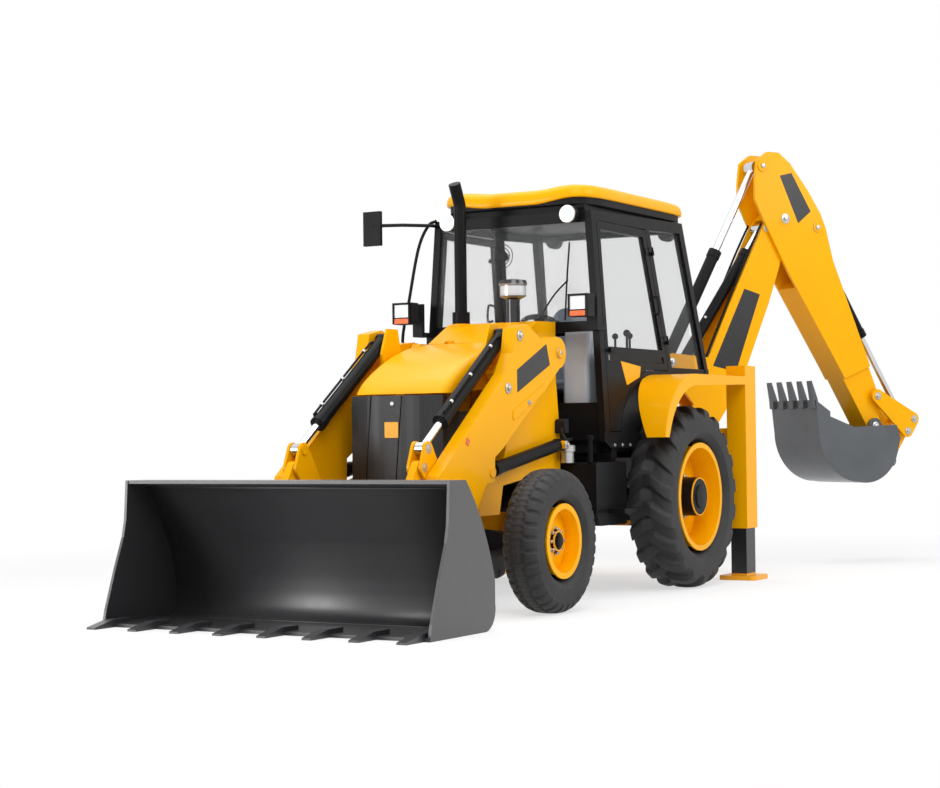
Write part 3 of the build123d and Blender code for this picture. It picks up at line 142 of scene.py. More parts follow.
lamp_table = [
    # name, place, aimed at, width, watts
    ("lamp_front", (9.0, 5.5, 7.5), (1.0, 0.3, 0.6), 6.0, 520),
    ("lamp_right", (10.5, -5.9, 1.95), (3.3, 0.0, 0.5), 3.6, 420),
    ("lamp_left", (-1.5, 9.5, 6.5), (-0.5, 0.0, 1.0), 6.0, 430),
    ("lamp_above", (0.5, -1.0, 9.5), (0.5, 0.0, 0.0), 9.0, 620),
]
for name, place, aim, width, watts in lamp_table:
    lamp = bpy.data.objects.new(name, bpy.data.lights.new(name, "AREA"))
    lamp.data.size = width
    lamp.data.energy = watts
    lamp.location = Vector(place)
    lamp.rotation_mode = "QUATERNION"
    lamp.rotation_quaternion = (Vector(aim) - Vector(place)).to_track_quat("-Z", "Y")
    bpy.context.collection.objects.link(lamp)


# Sheet metal in gloss enamel: bonnet, cowl, arms, boom, fenders, roof, frame and wheels.
# Pressed or welded steel under a baked enamel, slightly uneven in colour and in gloss.
def grained(name, colour, worn_colour, roughness, spread, scale, bump, metallic=0.0,
            coat=0.0, edge=0.0, specular=0.5):
    """A finish whose colour runs between two values with a soft noise, and whose roughness
    and surface follow a finer noise. Edges are rounded to the light by edge metres."""
    grain_finer = 22
    clean_below, worn_above = 0.35, 0.75
    finish = bpy.data.materials.new(name)
    finish.use_nodes = True
    nodes = finish.node_tree.nodes
    links = finish.node_tree.links
    shader = nodes["Principled BSDF"]
    shader.inputs["Metallic"].default_value = metallic
    shader.inputs["Coat Weight"].default_value = coat
    shader.inputs["Coat Roughness"].default_value = 0.08
    shader.inputs["Specular IOR Level"].default_value = specular
    place = nodes.new("ShaderNodeTexCoord")
    cloud = nodes.new("ShaderNodeTexNoise")
    cloud.inputs["Scale"].default_value = scale
    cloud.inputs["Detail"].default_value = 6
    cloud.inputs["Roughness"].default_value = 0.6
    grain = nodes.new("ShaderNodeTexNoise")
    grain.inputs["Scale"].default_value = scale * grain_finer
    grain.inputs["Detail"].default_value = 3
    links.new(place.outputs["Object"], cloud.inputs["Vector"])
    links.new(place.outputs["Object"], grain.inputs["Vector"])
    ramp = nodes.new("ShaderNodeValToRGB")
    ramp.color_ramp.elements[0].position = clean_below
    ramp.color_ramp.elements[0].color = (*colour, 1)
    ramp.color_ramp.elements[1].position = worn_above
    ramp.color_ramp.elements[1].color = (*worn_colour, 1)
    links.new(cloud.outputs["Fac"], ramp.inputs["Fac"])
    links.new(ramp.outputs["Color"], shader.inputs["Base Color"])
    rough = nodes.new("ShaderNodeMapRange")
    rough.inputs["From Min"].default_value = 0.3
    rough.inputs["From Max"].default_value = 0.7
    rough.inputs["To Min"].default_value = roughness - spread
    rough.inputs["To Max"].default_value = roughness + spread
    links.new(grain.outputs["Fac"], rough.inputs["Value"])
    links.new(rough.outputs["Result"], shader.inputs["Roughness"])
    relief = nodes.new("ShaderNodeBump")
    relief.inputs["Strength"].default_value = bump
    relief.inputs["Distance"].default_value = 0.002
    links.new(grain.outputs["Fac"], relief.inputs["Height"])
    if edge:
        rounded = nodes.new("ShaderNodeBevel")
        rounded.samples = 4
        rounded.inputs["Radius"].default_value = edge
        links.new(rounded.outputs["Normal"], relief.inputs["Normal"])
    links.new(relief.outputs["Normal"], shader.inputs["Normal"])
    return finish


def dress(node, finish):
    """Gives a solid of the frame its finish in every material slot."""
    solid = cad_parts[node]
    if not solid.material_slots:
        solid.data.materials.append(finish)
    for slot in solid.material_slots:
        slot.material = finish


enamel = grained("yellow_enamel", (0.92, 0.425, 0.0), (0.88, 0.39, 0.0), 0.32, 0.03, 1.3,
                 0.012, coat=0.12, edge=0.004, specular=0.08)
for node in ("bonnet", "bonnet_cowl", "loader_towers", "rear_fenders", "cab_roof",
             "rear_frame", "loader_arms", "tipping_levers", "shovel_links",
             "sideshift_carriage", "kingpost", "boom", "dipper", "bucket_lever",
             "bucket_link", "front_rim_left", "front_rim_right", "rear_rim_left",
             "rear_rim_right"):
    dress(node, enamel)

# Black parts: rails, axles, tanks, cab posts, doors, ram barrels and exhaust stack.
# Welded and cast steel in a satin black enamel, sprayed on before the parts are bolted up.
black_enamel = grained("black_enamel", (0.006, 0.006, 0.007), (0.010, 0.010, 0.010), 0.34,
                       0.05, 3.0, 0.02, edge=0.003, specular=0.08)
for node in ("chassis_frame", "side_tanks", "front_axle", "knuckle_left", "knuckle_right",
             "rear_axle", "cab_frame", "door_left", "door_right", "lift_ram_barrels",
             "shovel_ram_barrels", "boom_ram_barrel", "dipper_ram_barrel",
             "bucket_ram_barrel", "exhaust_stack"):
    dress(node, black_enamel)

# Shovel and digging bucket: rolled and welded steel plate, painted dark charcoal and a
# lighter slate grey. They hang on hinge pins, and earth has scuffed them a little.
charcoal = grained("charcoal_steel", (0.027, 0.026, 0.029), (0.036, 0.035, 0.038), 0.42, 0.03,
                   0.9, 0.006, metallic=0.4, edge=0.003, coat=0.9)
charcoal.node_tree.nodes["Principled BSDF"].inputs["Coat Roughness"].default_value = 0.42
dress("shovel", charcoal)
bucket_steel = grained("bucket_steel", (0.070, 0.076, 0.084), (0.10, 0.108, 0.118), 0.4, 0.05,
                       2.0, 0.02, metallic=0.4, edge=0.003, coat=0.3)
dress("digging_bucket", bucket_steel)

# Engine: the cast iron block under the bonnet, in bare sand-cast grey, bolted between
# the chassis rails.
cast_grey = grained("cast_grey", (0.05, 0.05, 0.052), (0.09, 0.088, 0.085), 0.6, 0.1, 5.0,
                    0.3)
dress("engine_block", cast_grey)

# Moulded parts: the cab's interior, mirrors and lamp housings. Injection-moulded black
# plastic with a fine grain, screwed to the cab's floor and posts.
moulded = grained("moulded_black", (0.010, 0.010, 0.011), (0.015, 0.015, 0.016), 0.5, 0.06,
                  9.0, 0.08, edge=0.003, specular=0.12)
for node in ("cab_interior", "mirrors", "lamp_housings"):
    dress(node, moulded)

# Ram rods: ground steel bars plated in hard chrome, which slide out of the barrels'
# glands and end in an eye.
chrome = grained("hard_chrome", (0.66, 0.67, 0.69), (0.6, 0.61, 0.63), 0.16, 0.04, 6.0,
                 0.01, metallic=1.0)
for node in ("lift_ram_rods", "shovel_ram_rods", "boom_ram_rod", "dipper_ram_rod",
             "bucket_ram_rod"):
    dress(node, chrome)

# Tyres: rubber casings seated on the rims' flanges. The rear pair has slanted drive lugs
# that meet in a chevron, the front pair zigzag ribs with notched shoulders.
rubber = grained("tyre_rubber", (0.011, 0.011, 0.012), (0.024, 0.023, 0.022), 0.62, 0.08,
                 4.0, 0.25, specular=0.4)
sides = (("left", 1), ("right", -1))


def rise(low, high, value):
    """Zero below low, one above high, an S curve between."""
    t = np.clip((value - low) / (high - low), 0, 1)
    return t * t * (3 - 2 * t)


def signed_power(value, exponent):
    """A power of the value's size that keeps the value's sign."""
    return np.sign(value) * np.abs(value) ** exponent


def skin(name, points, finish, body, close_rows=False, close_columns=False):
    """A surface through rows x columns of points, closed along either way if asked."""
    rows, columns = points.shape[:2]
    row = np.arange(rows if close_rows else rows - 1)
    column = np.arange(columns if close_columns else columns - 1)
    r, c = np.meshgrid(row, column, indexing="ij")
    r_next, c_next = (r + 1) % rows, (c + 1) % columns
    corners = np.stack([r * columns + c, r_next * columns + c, r_next * columns + c_next,
                        r * columns + c_next], axis=-1).reshape(-1, 4)
    mesh = bpy.data.meshes.new(name)
    mesh.from_pydata(points.reshape(-1, 3).tolist(), [], corners.tolist())
    mesh.update()
    mesh.shade_smooth()
    mesh.materials.append(finish)
    piece = bpy.data.objects.new(name, mesh)
    bpy.context.collection.objects.link(piece)
    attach(piece, body)
    return piece


def drive_lugs(turn, across):
    """Two rows of slanted bars, half a pitch apart, that run from the crown over the
    shoulder: a bar stands where the turn, sheared by the distance across, is near its line."""
    bars_around = 19
    phase = turn * bars_around / (2 * pi) - 0.62 * np.abs(across) + np.where(across > 0, 0.5, 0.0)
    from_line = np.abs(phase % 1.0 - 0.5)
    return rise(0.27, 0.2, from_line) * rise(0.0, 0.07, np.abs(across) + 0.05)


def rib_blocks(turn, across):
    """Ribs parted by two zigzag grooves, and shoulders cut by notches."""
    notches_around = 34
    phase = turn * notches_around / (2 * pi)
    zigzag = np.abs(phase % 1.0 - 0.5) * 4 - 1
    groove = rise(0.03, 0.07, np.abs(np.abs(across) - 0.3 - 0.07 * zigzag))
    notch = rise(0.14, 0.2, np.abs((phase + np.where(across > 0, 0.5, 0.0)) % 1.0 - 0.5))
    return groove * np.where(np.abs(across) > 0.46, notch, 1.0)


tyre_table = [
    # name, lug height, pattern, steps around, steps across, shoulder squareness
    ("front", 0.012, rib_blocks, 544, 64, 0.62),
    ("rear", 0.034, drive_lugs, 570, 72, 0.60),
]
into_rim = 0.002
under_rim = 0.004
widest_share = 0.45
side_rib_share, side_rib_reach, side_rib_height = 0.30, 0.012, 0.004
for axle_name, lug_height, pattern, around, across_steps, squareness in tyre_table:
    for side_name, side in sides:
        node = f"{axle_name}_tyre_{side_name}"
        low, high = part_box(node)
        centre = (low + high) / 2
        radius, half_width = (high.z - low.z) / 2, (high.y - low.y) / 2
        rim_low, rim_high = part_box(f"{axle_name}_rim_{side_name}")
        seat = (rim_high.z - rim_low.z) / 2 - into_rim
        middle = seat + (radius - lug_height - seat) * widest_share
        under_seat = middle - seat + under_rim
        bead = np.arcsin(np.clip((middle - seat) / under_seat, 0, 1))
        swing = np.linspace(-bead, pi + bead, across_steps)
        turn = np.linspace(0, 2 * pi, around, endpoint=False)
        turn, swing = np.meshgrid(turn, swing, indexing="ij")
        sine, cosine = np.sin(swing), np.cos(swing)
        lift = np.where(sine > 0, radius - lug_height - middle, under_seat)
        out = middle + lift * signed_power(sine, np.where(sine > 0, squareness, 1.0))
        wide = half_width * signed_power(cosine, np.where(sine > 0, squareness, 0.9))
        on_tread = rise(0.02, 0.42, sine)
        out = out + lug_height * on_tread * pattern(turn * side, wide / half_width)
        ring = rise(side_rib_reach, 0.0, np.abs(out - seat - side_rib_share * (radius - seat)))
        wide = wide + np.sign(cosine) * side_rib_height * (ring - 1) * (sine < 0.3)
        points = np.stack([centre.x + out * np.sin(turn), centre.y + side * wide,
                           centre.z + out * np.cos(turn)], axis=-1)
        if side < 0:
            points = points[:, ::-1]
        tyre = skin(f"{axle_name}_tread_{side_name}", points, rubber,
                    f"{axle_name}_wheel_{side_name}", close_rows=True)
        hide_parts(node)

# Seat: a foam cushion and backrest in blue-grey cloth on a moulded base. Each pad is a
# crowned closed form that pulls in between its corners, with a seam round its middle.
seat_cloth = grained("seat_cloth", (0.30, 0.36, 0.44), (0.36, 0.42, 0.5), 0.8, 0.05, 60.0,
                     0.3)


def knit(mesh, distance):
    """Merges the corners of a mesh that meet within a distance, and turns its faces
    outwards."""
    loose = bmesh.new()
    loose.from_mesh(mesh)
    bmesh.ops.remove_doubles(loose, verts=loose.verts, dist=distance)
    bmesh.ops.recalc_face_normals(loose, faces=loose.faces)
    loose.to_mesh(mesh)
    loose.free()


def pad(name, centre, half_sizes, lean, finish):
    """A rounded box of powers of sine and cosine: its flanks pull in by a tenth midway
    between the corners, its faces rise to a crown, and a seam runs round its widest line."""
    across_steps, up_steps = 96, 49
    corner_power, edge_power = 0.4, 0.45
    across_turn = np.linspace(0, 2 * pi, across_steps, endpoint=False)
    up_turn = np.linspace(-pi / 2, pi / 2, up_steps)
    up_turn, across_turn = np.meshgrid(up_turn, across_turn, indexing="ij")
    ring = signed_power(np.cos(up_turn), edge_power)
    pull = 1 - 0.05 * np.cos(4 * across_turn) * np.cos(up_turn) ** 2 - 0.05
    seam = 1 - 0.02 * np.exp(-(up_turn / 0.04) ** 2)
    wide = half_sizes[0] * ring * signed_power(np.cos(across_turn), corner_power) * pull * seam
    deep = half_sizes[1] * ring * signed_power(np.sin(across_turn), corner_power) * pull * seam
    tall = half_sizes[2] * (0.8 * signed_power(np.sin(up_turn), edge_power)
                            + 0.2 * np.sin(up_turn) ** 3)
    along = centre[0] + wide * cos(lean) + tall * sin(lean)
    height = centre[2] - wide * sin(lean) + tall * cos(lean)
    points = np.stack([along / 1000 + machine.x, (centre[1] + deep) / 1000 + machine.y,
                       height / 1000], axis=-1)
    piece = skin(name, points[:, ::-1], finish, "chassis", close_columns=True)
    knit(piece.data, 1e-5)
    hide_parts("operator_seat")


pad("seat_cushion", (185, 0, 1425), (250, 236, 52), radians(-2), seat_cloth)
pad("seat_back", (0, 0, 1735), (52, 224, 280), radians(-4), seat_cloth)

# Cab glass: flat panes of clear toughened glass with a faint grey tint, set in the cab's
# and the doors' openings.
pane = grained("pane_glass", (0.20, 0.22, 0.23), (0.16, 0.18, 0.19), 0.05, 0.02, 2.0, 0.0,
               specular=0.3)
pane.node_tree.nodes["Principled BSDF"].inputs["Alpha"].default_value = 0.10
for node in ("cab_glass", "door_glass_left", "door_glass_right"):
    dress(node, pane)


# Lamps: square head lamps of ribbed clear glass over amber indicators, and round work
# lamps under the roof. The lens changes colour at the height where the indicator ends.
def split_by_height(finish, steps):
    """Gives a finish a new colour above each height of the table, in metres, with a sharp
    edge between them. The ramp's share is the height over a limit of four metres."""
    height_limit = 4.0
    nodes = finish.node_tree.nodes
    links = finish.node_tree.links
    place = nodes.new("ShaderNodeTexCoord")
    parts = nodes.new("ShaderNodeSeparateXYZ")
    share = nodes.new("ShaderNodeMath")
    share.operation = "DIVIDE"
    share.inputs[1].default_value = height_limit
    ramp = nodes.new("ShaderNodeValToRGB")
    ramp.color_ramp.interpolation = "CONSTANT"
    ramp.color_ramp.elements[0].color = (*steps[0][1], 1)
    ramp.color_ramp.elements[1].position = steps[1][0] / height_limit
    ramp.color_ramp.elements[1].color = (*steps[1][1], 1)
    for height, colour in steps[2:]:
        ramp.color_ramp.elements.new(height / height_limit).color = (*colour, 1)
    links.new(place.outputs["Object"], parts.inputs[0])
    links.new(parts.outputs["Z"], share.inputs[0])
    links.new(share.outputs["Value"], ramp.inputs["Fac"])
    links.new(ramp.outputs["Color"], nodes["Principled BSDF"].inputs["Base Color"])


lens = grained("lamp_lens", (0.85, 0.86, 0.87), (0.75, 0.76, 0.78), 0.34, 0.03, 30.0, 0.3,
               coat=0.1, metallic=0.3, specular=0.3)
split_by_height(lens, [(0.0, (0.62, 0.085, 0.003)), (1.902, (0.55, 0.57, 0.59))])
dress("lamp_lenses", lens)

# Air bowl: a clear ribbed plastic bowl under a black lid, on a black rubber neck clamped
# to the intake pipe that stands out of the bonnet. Its ribs are painted in by height, as pale
# bands of painted highlight between darker grey bands of painted shade.
ribbed_bowl_painted_light = grained("air_bowl", (0.5, 0.5, 0.5), (0.45, 0.45, 0.45), 0.22, 0.05, 8.0, 0.05,
                      coat=0.5, metallic=0.35)
# Between the neck and the lid, the pale and darker grey bands are painted highlights and painted
# shade of the ribs.
split_by_height(ribbed_bowl_painted_light, [(0.0, (0.014, 0.014, 0.015)), (1.992, (0.20, 0.20, 0.21)),
                              (2.006, (0.55, 0.56, 0.58)), (2.016, (0.30, 0.31, 0.32)),
                              (2.026, (0.60, 0.61, 0.63)), (2.050, (0.34, 0.35, 0.36)),
                              (2.058, (0.62, 0.63, 0.65)), (2.072, (0.26, 0.26, 0.27)),
                              (2.082, (0.018, 0.018, 0.02))])
dress("air_precleaner", ribbed_bowl_painted_light)

# Stabiliser legs: square steel tubes in black enamel, which slide in the rear frame's
# outer tubes, each welded to a ground pad in yellow enamel.
leg_enamel = grained("leg_enamel", (0.01, 0.01, 0.01), (0.01, 0.01, 0.01), 0.35, 0.05, 3.0,
                     0.03, edge=0.003)
split_by_height(leg_enamel, [(0.0, (0.89, 0.385, 0.0)), (0.0345, (0.011, 0.011, 0.012))])
for node in ("stabiliser_leg_left", "stabiliser_leg_right"):
    dress(node, leg_enamel)

# Front panel: pressed black steel, bolted to the rails below the bonnet, with a field of
# fine punched holes.
punched = grained("punched_panel", (0.016, 0.016, 0.017), (0.021, 0.021, 0.022), 0.42, 0.05,
                  6.0, 0.05, edge=0.004, specular=0.35)
punched_nodes = punched.node_tree.nodes
punched_links = punched.node_tree.links
hole_place = punched_nodes.new("ShaderNodeTexCoord")
hole_grid = punched_nodes.new("ShaderNodeTexVoronoi")
hole_grid.inputs["Scale"].default_value = 110
hole_grid.inputs["Randomness"].default_value = 0.0
hole_step = punched_nodes.new("ShaderNodeMapRange")
hole_step.inputs["From Min"].default_value = 0.25
hole_step.inputs["From Max"].default_value = 0.4
hole_relief = punched_nodes.new("ShaderNodeBump")
hole_relief.inputs["Strength"].default_value = 0.5
hole_relief.inputs["Distance"].default_value = 0.002
punched_links.new(hole_place.outputs["Object"], hole_grid.inputs["Vector"])
punched_links.new(hole_grid.outputs["Distance"], hole_step.inputs["Value"])
punched_links.new(hole_step.outputs["Result"], hole_relief.inputs["Height"])
punched_links.new(hole_relief.outputs["Normal"],
                  punched_nodes["Principled BSDF"].inputs["Normal"])
dress("radiator_grille", punched)


# Seat base: a moulded plastic box that tapers up from the cab floor, to which it is
# bolted, and widens again under the cushion.
def at(x, y, z):
    """A place in the frame's metres, from millimetres ahead of the rear axle, to its left
    and above the ground."""
    return np.stack(np.broadcast_arrays(np.asarray(x) / 1000 + machine.x,
                                        np.asarray(y) / 1000 + machine.y,
                                        np.asarray(z) / 1000), axis=-1)


def closed(name, points, faces, finish, body, crease=35, bevel=0.0):
    """A closed mesh: corners that meet are merged, faces turned outwards, edges flatter
    than crease degrees shaded smooth, and sharp ones rounded by bevel metres."""
    mesh = bpy.data.meshes.new(name)
    mesh.from_pydata(np.asarray(points).tolist(), [], faces)
    knit(mesh, 1e-6)
    mesh.shade_smooth()
    mesh.set_sharp_from_angle(angle=radians(crease))
    mesh.materials.append(finish)
    piece = bpy.data.objects.new(name, mesh)
    bpy.context.collection.objects.link(piece)
    if bevel:
        rounding = piece.modifiers.new("rounding", "BEVEL")
        rounding.width = bevel
        rounding.segments = 2
        rounding.limit_method = "ANGLE"
    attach(piece, body)
    return piece


def grid_faces(rows, columns, start=0):
    """Quads over rows x columns of points, closed round the columns. The points' numbers
    count from start."""
    r, c = np.meshgrid(np.arange(rows - 1), np.arange(columns), indexing="ij")
    c_next = (c + 1) % columns
    quads = np.stack([r * columns + c, (r + 1) * columns + c, (r + 1) * columns + c_next,
                      r * columns + c_next], axis=-1).reshape(-1, 4)
    return quads + start


def turned_points(profile, centre, axis, steps):
    """A profile of (distance along the axis, radius) in metres, turned about the axis."""
    axis = np.asarray(axis, float) / np.linalg.norm(axis)
    side = np.cross(axis, (0.0, 0.0, 1.0) if abs(axis[2]) < 0.9 else (1.0, 0.0, 0.0))
    side /= np.linalg.norm(side)
    up = np.cross(side, axis)
    turn = np.linspace(0, 2 * pi, steps, endpoint=False)
    ring = np.cos(turn)[:, None] * side + np.sin(turn)[:, None] * up
    profile = np.asarray(profile, float)
    return (np.asarray(centre) + profile[:, 0, None, None] * axis
            + profile[:, 1, None, None] * ring)


def turned(name, profile, centres, axis, finish, body, steps=40):
    """Like turned solids at several centres, made as one piece."""
    stack = [turned_points(profile, centre, axis, steps) for centre in centres]
    points = np.concatenate([one.reshape(-1, 3) for one in stack])
    rows = len(profile)
    faces = np.concatenate([grid_faces(rows, steps, number * rows * steps)
                            for number in range(len(stack))])
    return closed(name, points, faces.tolist(), finish, body)


base_rings = [
    # height, half length, half width
    (1040, 150, 170), (1060, 150, 170), (1330, 132, 150), (1372, 190, 200), (1378, 186, 196)]
base_steps = 48
base_middle = np.full(base_steps, 150.0)
base_turn = np.linspace(0, 2 * pi, base_steps, endpoint=False) + pi / base_steps
base_along = signed_power(np.cos(base_turn), 0.3)
base_across = signed_power(np.sin(base_turn), 0.3)
base_points = [at(base_middle, 0, base_rings[0][0])]
for height, half_long, half_wide in base_rings:
    base_points.append(at(base_middle + half_long * base_along, half_wide * base_across,
                          height))
base_points.append(at(base_middle, 0, base_rings[-1][0]))
seat_base = closed("seat_base", np.concatenate(base_points),
                   grid_faces(len(base_points), base_steps).tolist(), moulded, "chassis")
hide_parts("operator_seat")

# Wheel hubs: black-painted planetary hubs at the rear and smaller hubs at the front, each
# inside a ring of plated wheel nuts on the rim's disc.
plated = grained("plated_steel", (0.52, 0.52, 0.5), (0.42, 0.42, 0.4), 0.3, 0.06, 20.0, 0.03,
                 metallic=0.9)
hub_table = [
    # name, x, centre y, centre z, hub radius, hub face, disc face, nut circle, nuts, nut size
    ("front", 2170, 915, 440, 64, 60, 32, 73, 8, 12),
    ("rear", 0, 835, 640, 136, 132, -18, 145, 10, 16),
]
for name, x, y, z, hub_radius, face, disc_face, circle, count, size in hub_table:
    for side_name, side in sides:
        outward = (0.0, float(side), 0.0)
        hub = [(disc_face - 5, 0), (disc_face - 5, hub_radius), (face - 12, hub_radius),
               (face, hub_radius - 12), (face + 1, hub_radius * 0.62),
               (face + 10, hub_radius * 0.6), (face + 12, hub_radius * 0.5), (face + 12, 0)]
        turned(f"{name}_hub_{side_name}", np.array(hub) / 1000, [at(x, side * y, z)], outward,
               black_enamel, f"{name}_wheel_{side_name}", 48)
        nut = [(disc_face - 4, 0), (disc_face - 4, size * 1.4), (disc_face + 3, size * 1.4),
               (disc_face + 3, size), (disc_face + 18, size), (disc_face + 21, size * 0.8),
               (disc_face + 21, size * 0.45), (disc_face + 30, size * 0.4),
               (disc_face + 30, 0)]
        around = np.linspace(0, 2 * pi, count, endpoint=False)
        places = at(x + circle * np.cos(around), side * y, z + circle * np.sin(around))
        turned(f"{name}_nuts_{side_name}", np.array(nut) / 1000, list(places), outward, plated,
               f"{name}_wheel_{side_name}", 6)

# Arm pins: plated washers and bolt heads on the ends of the hinge pins of the loader's
# arms, tipping levers and towers, on both sides of the machine.
washer = np.array([(0, 0), (0, 34), (8, 34), (10, 31), (10, 17), (22, 16), (24, 13), (24, 0)])
pin_sunk = 1
for name, spots, face, size, proud, body in (
        ("arm_pins", [(1400, 1620), (1935, 1712), (2095, 1378), (3120, 250)], 590, 1.0, 1.0,
         "loader_arms"),
        ("lever_pins", [(2890, 1011), (2935, 900)], 494, 0.9, 0.2, "tipping_levers"),
        ("tower_pins", [(1340, 1020)], 604, 0.8, 1.0, "chassis")):
    for side_name, side in sides:
        turned(f"{name}_{side_name}", washer * (proud, size) / 1000,
               [at(x, side * (face - pin_sunk), z) for x, z in spots],
               (0.0, float(side), 0.0), plated, body, 30)


# Arm plates: a bare dark sign panel, a pressed steel cover strip with its bolt, and an
# amber reflector, glued or bolted flat on the outer face of each arm.
def plate(name, outline, outward, thickness, finish, body, bevel=0.0008):
    """A flat plate: its outline in metres, and the same outline moved outward."""
    outline = np.asarray(outline)
    lift = np.asarray(outward, float) / np.linalg.norm(outward) * thickness
    count = len(outline)
    ring = np.arange(count)
    following = (ring + 1) % count
    walls = np.stack([ring, following, following + count, ring + count], axis=-1).tolist()
    return closed(name, np.concatenate([outline, outline + lift]),
                  [ring.tolist(), (ring + count).tolist()] + walls, finish, body, 20, bevel)


sign_black = grained("sign_black", (0.012, 0.012, 0.013), (0.016, 0.016, 0.017), 0.3, 0.04, 6.0,
                     0.02, specular=0.4)
amber = grained("amber_reflector", (0.72, 0.11, 0.004), (0.66, 0.09, 0.004), 0.2, 0.04, 40.0,
                0.1, coat=0.5)
sign_side = np.array([(1972, 1496), (1575, 1672), (1528, 1538), (1972, 1352)])
strip_side = np.array([(2035, 1235), (1615, 1415), (1592, 1405), (1592, 1372), (2020, 1180),
                       (2038, 1190)])
reflector_side = np.array([(2575, 1058), (2608, 1075), (2625, 1040), (2592, 1022)])
arm_face = 590
sunk = 0.2
for side_name, side in sides:
    outward = (0.0, float(side), 0.0)
    for name, outline, thickness, finish in (("arm_sign", sign_side, 1.5, sign_black),
                                             ("arm_strip", strip_side, 6, enamel),
                                             ("arm_reflector", reflector_side, 5, amber)):
        plate(f"{name}_{side_name}",
              at(outline[:, 0], side * (arm_face - sunk), outline[:, 1]), outward,
              thickness / 1000, finish, "loader_arms")
    turned(f"strip_bolt_{side_name}", washer * (0.7, 0.5) / 1000, [at(1828, side * 594, 1292)],
           outward, plated, "loader_arms", 24)


# Pipes on the rams: a bent steel pipe in black enamel runs along each shovel ram's barrel
# and the boom ram's, from its base port to its gland, held by three plated clamps.
def along_route(route, per=10):
    """A smooth curve through the route's points: between two points it follows the cubic
    whose slopes there are half the chord between their neighbours."""
    route = np.asarray(route, float)
    padded = np.concatenate([[2 * route[0] - route[1]], route, [2 * route[-1] - route[-2]]])
    before, start, end, after = padded[:-3], padded[1:-2], padded[2:-1], padded[3:]
    t = np.linspace(0, 1, per, endpoint=False)[None, :, None]
    before, start, end, after = (one[:, None, :] for one in (before, start, end, after))
    curve = 0.5 * (2 * start + (end - before) * t
                   + (2 * before - 5 * start + 4 * end - after) * t ** 2
                   + (3 * start - before - 3 * end + after) * t ** 3)
    return np.concatenate([curve.reshape(-1, 3), route[-1:]])


def tube(name, routes, radius, finish, body, smooth=True):
    """Round tubes along routes, made as one piece: at each point a circle stands square to
    the route, and both ends are closed."""
    steps_around = 12
    turn = np.linspace(0, 2 * pi, steps_around, endpoint=False)
    all_points, all_faces, start = [], [], 0
    for route in routes:
        line = along_route(route) if smooth else np.asarray(route, float)
        slope = np.gradient(line, axis=0)
        slope /= np.linalg.norm(slope, axis=1, keepdims=True)
        steady = np.eye(3)[np.argmin(np.abs(slope).max(axis=0))]
        across = np.cross(slope, steady)
        across /= np.linalg.norm(across, axis=1, keepdims=True)
        up = np.cross(across, slope)
        line = np.concatenate([line[:1], line, line[-1:]])
        across = np.concatenate([across[:1], across, across[-1:]])
        up = np.concatenate([up[:1], up, up[-1:]])
        size = np.full(len(line), radius)
        size[0] = size[-1] = 0.0
        ring = (np.cos(turn)[None, :, None] * across[:, None, :]
                + np.sin(turn)[None, :, None] * up[:, None, :])
        points = line[:, None, :] + size[:, None, None] * ring
        all_points.append(points.reshape(-1, 3))
        all_faces.append(grid_faces(len(line), steps_around, start))
        start += len(line) * steps_around
    return closed(name, np.concatenate(all_points), np.concatenate(all_faces).tolist(), finish,
                  body)


slew_pin_x = -1360
rest_slew = radians(32)


def digging(reach, across, height):
    """A place on the digging end: millimetres of reach from the slew pin, to the left of
    its middle, and of height."""
    return at(slew_pin_x - cos(rest_slew) * reach + sin(rest_slew) * across,
              sin(rest_slew) * reach + cos(rest_slew) * across, height)


def beside(place, start, end, off_side, off_up):
    """A function of a distance along the line from start to end, which gives the place
    there, off_side to the left of it and off_up square to it."""
    start, end = np.asarray(start, float), np.asarray(end, float)
    line = (end - start) / np.hypot(*(end - start))
    square = np.array((-line[1], line[0]))

    def spot(distance, extra=0.0):
        point = start + line * distance + square * (off_up + extra)
        return place(point[0], off_side, point[1])
    return spot


pipe_table = [
    # name, body, place, base, towards, pipe's end, side offsets, height off the middle,
    # places of the clamps as shares of the pipe
    ("shovel_ram_pipes", "shovel_ram_barrels", at, (1900, 1720), (2890, 1011), 950,
     (472, -472), 52, (0.22, 0.55, 0.85)),
    ("boom_ram_pipe", "boom_ram_barrel", digging, (20, 1300), (1094, 2743), 1540, (20,), 54,
     (0.22, 0.55, 0.85)),
]
clamp_half = 9
for name, body, place, base, towards, length, offsets, lift, clamps in pipe_table:
    routes, blocks = [], []
    for off_side in offsets:
        spot = beside(place, base, towards, off_side, lift)
        routes.append([spot(60, -22), spot(110, -2), spot(160), spot(length * 0.5),
                       spot(length - 75), spot(length - 45, -3), spot(length - 35, -14)])
        for share in clamps:
            blocks.append([spot(length * share - clamp_half), spot(length * share + clamp_half)])
    tube(name, routes, 0.008, black_enamel, body)
    tube(name.replace("pipe", "clamp"), blocks, 0.0125, plated, body, smooth=False)

# Digging-end pins: plated caps bolted on the ends of the hinge pins, on both sides of the
# kingpost, boom, dipper, bucket lever and bucket.
digging_left = (sin(rest_slew), cos(rest_slew), 0.0)
for name, body, face, size, spots in (
        ("boom_foot_caps", "kingpost", 145, 1.1, [(270, 950), (20, 1300)]),
        ("boom_caps", "boom", 100, 1.0, [(1042, 2744), (104, 1647)]),
        ("dipper_caps", "dipper", 130, 1.2, [(1205, 2823), (984, 3241), (1528, 2763)]),
        ("bucket_lever_caps", "bucket_lever", 158, 0.9, [(2111, 1379), (2493, 1185),
                                                         (2426, 1085)]),
        ("bucket_caps", "digging_bucket", 134, 1.0, [(2100, 1130), (2265, 839)])):
    for side_name, side in sides:
        turned(f"{name}_{side_name}", washer * (1, size) / 1000,
               [digging(reach, side * (face - pin_sunk), height) for reach, height in spots],
               tuple(side * part for part in digging_left), plated, body, 30)


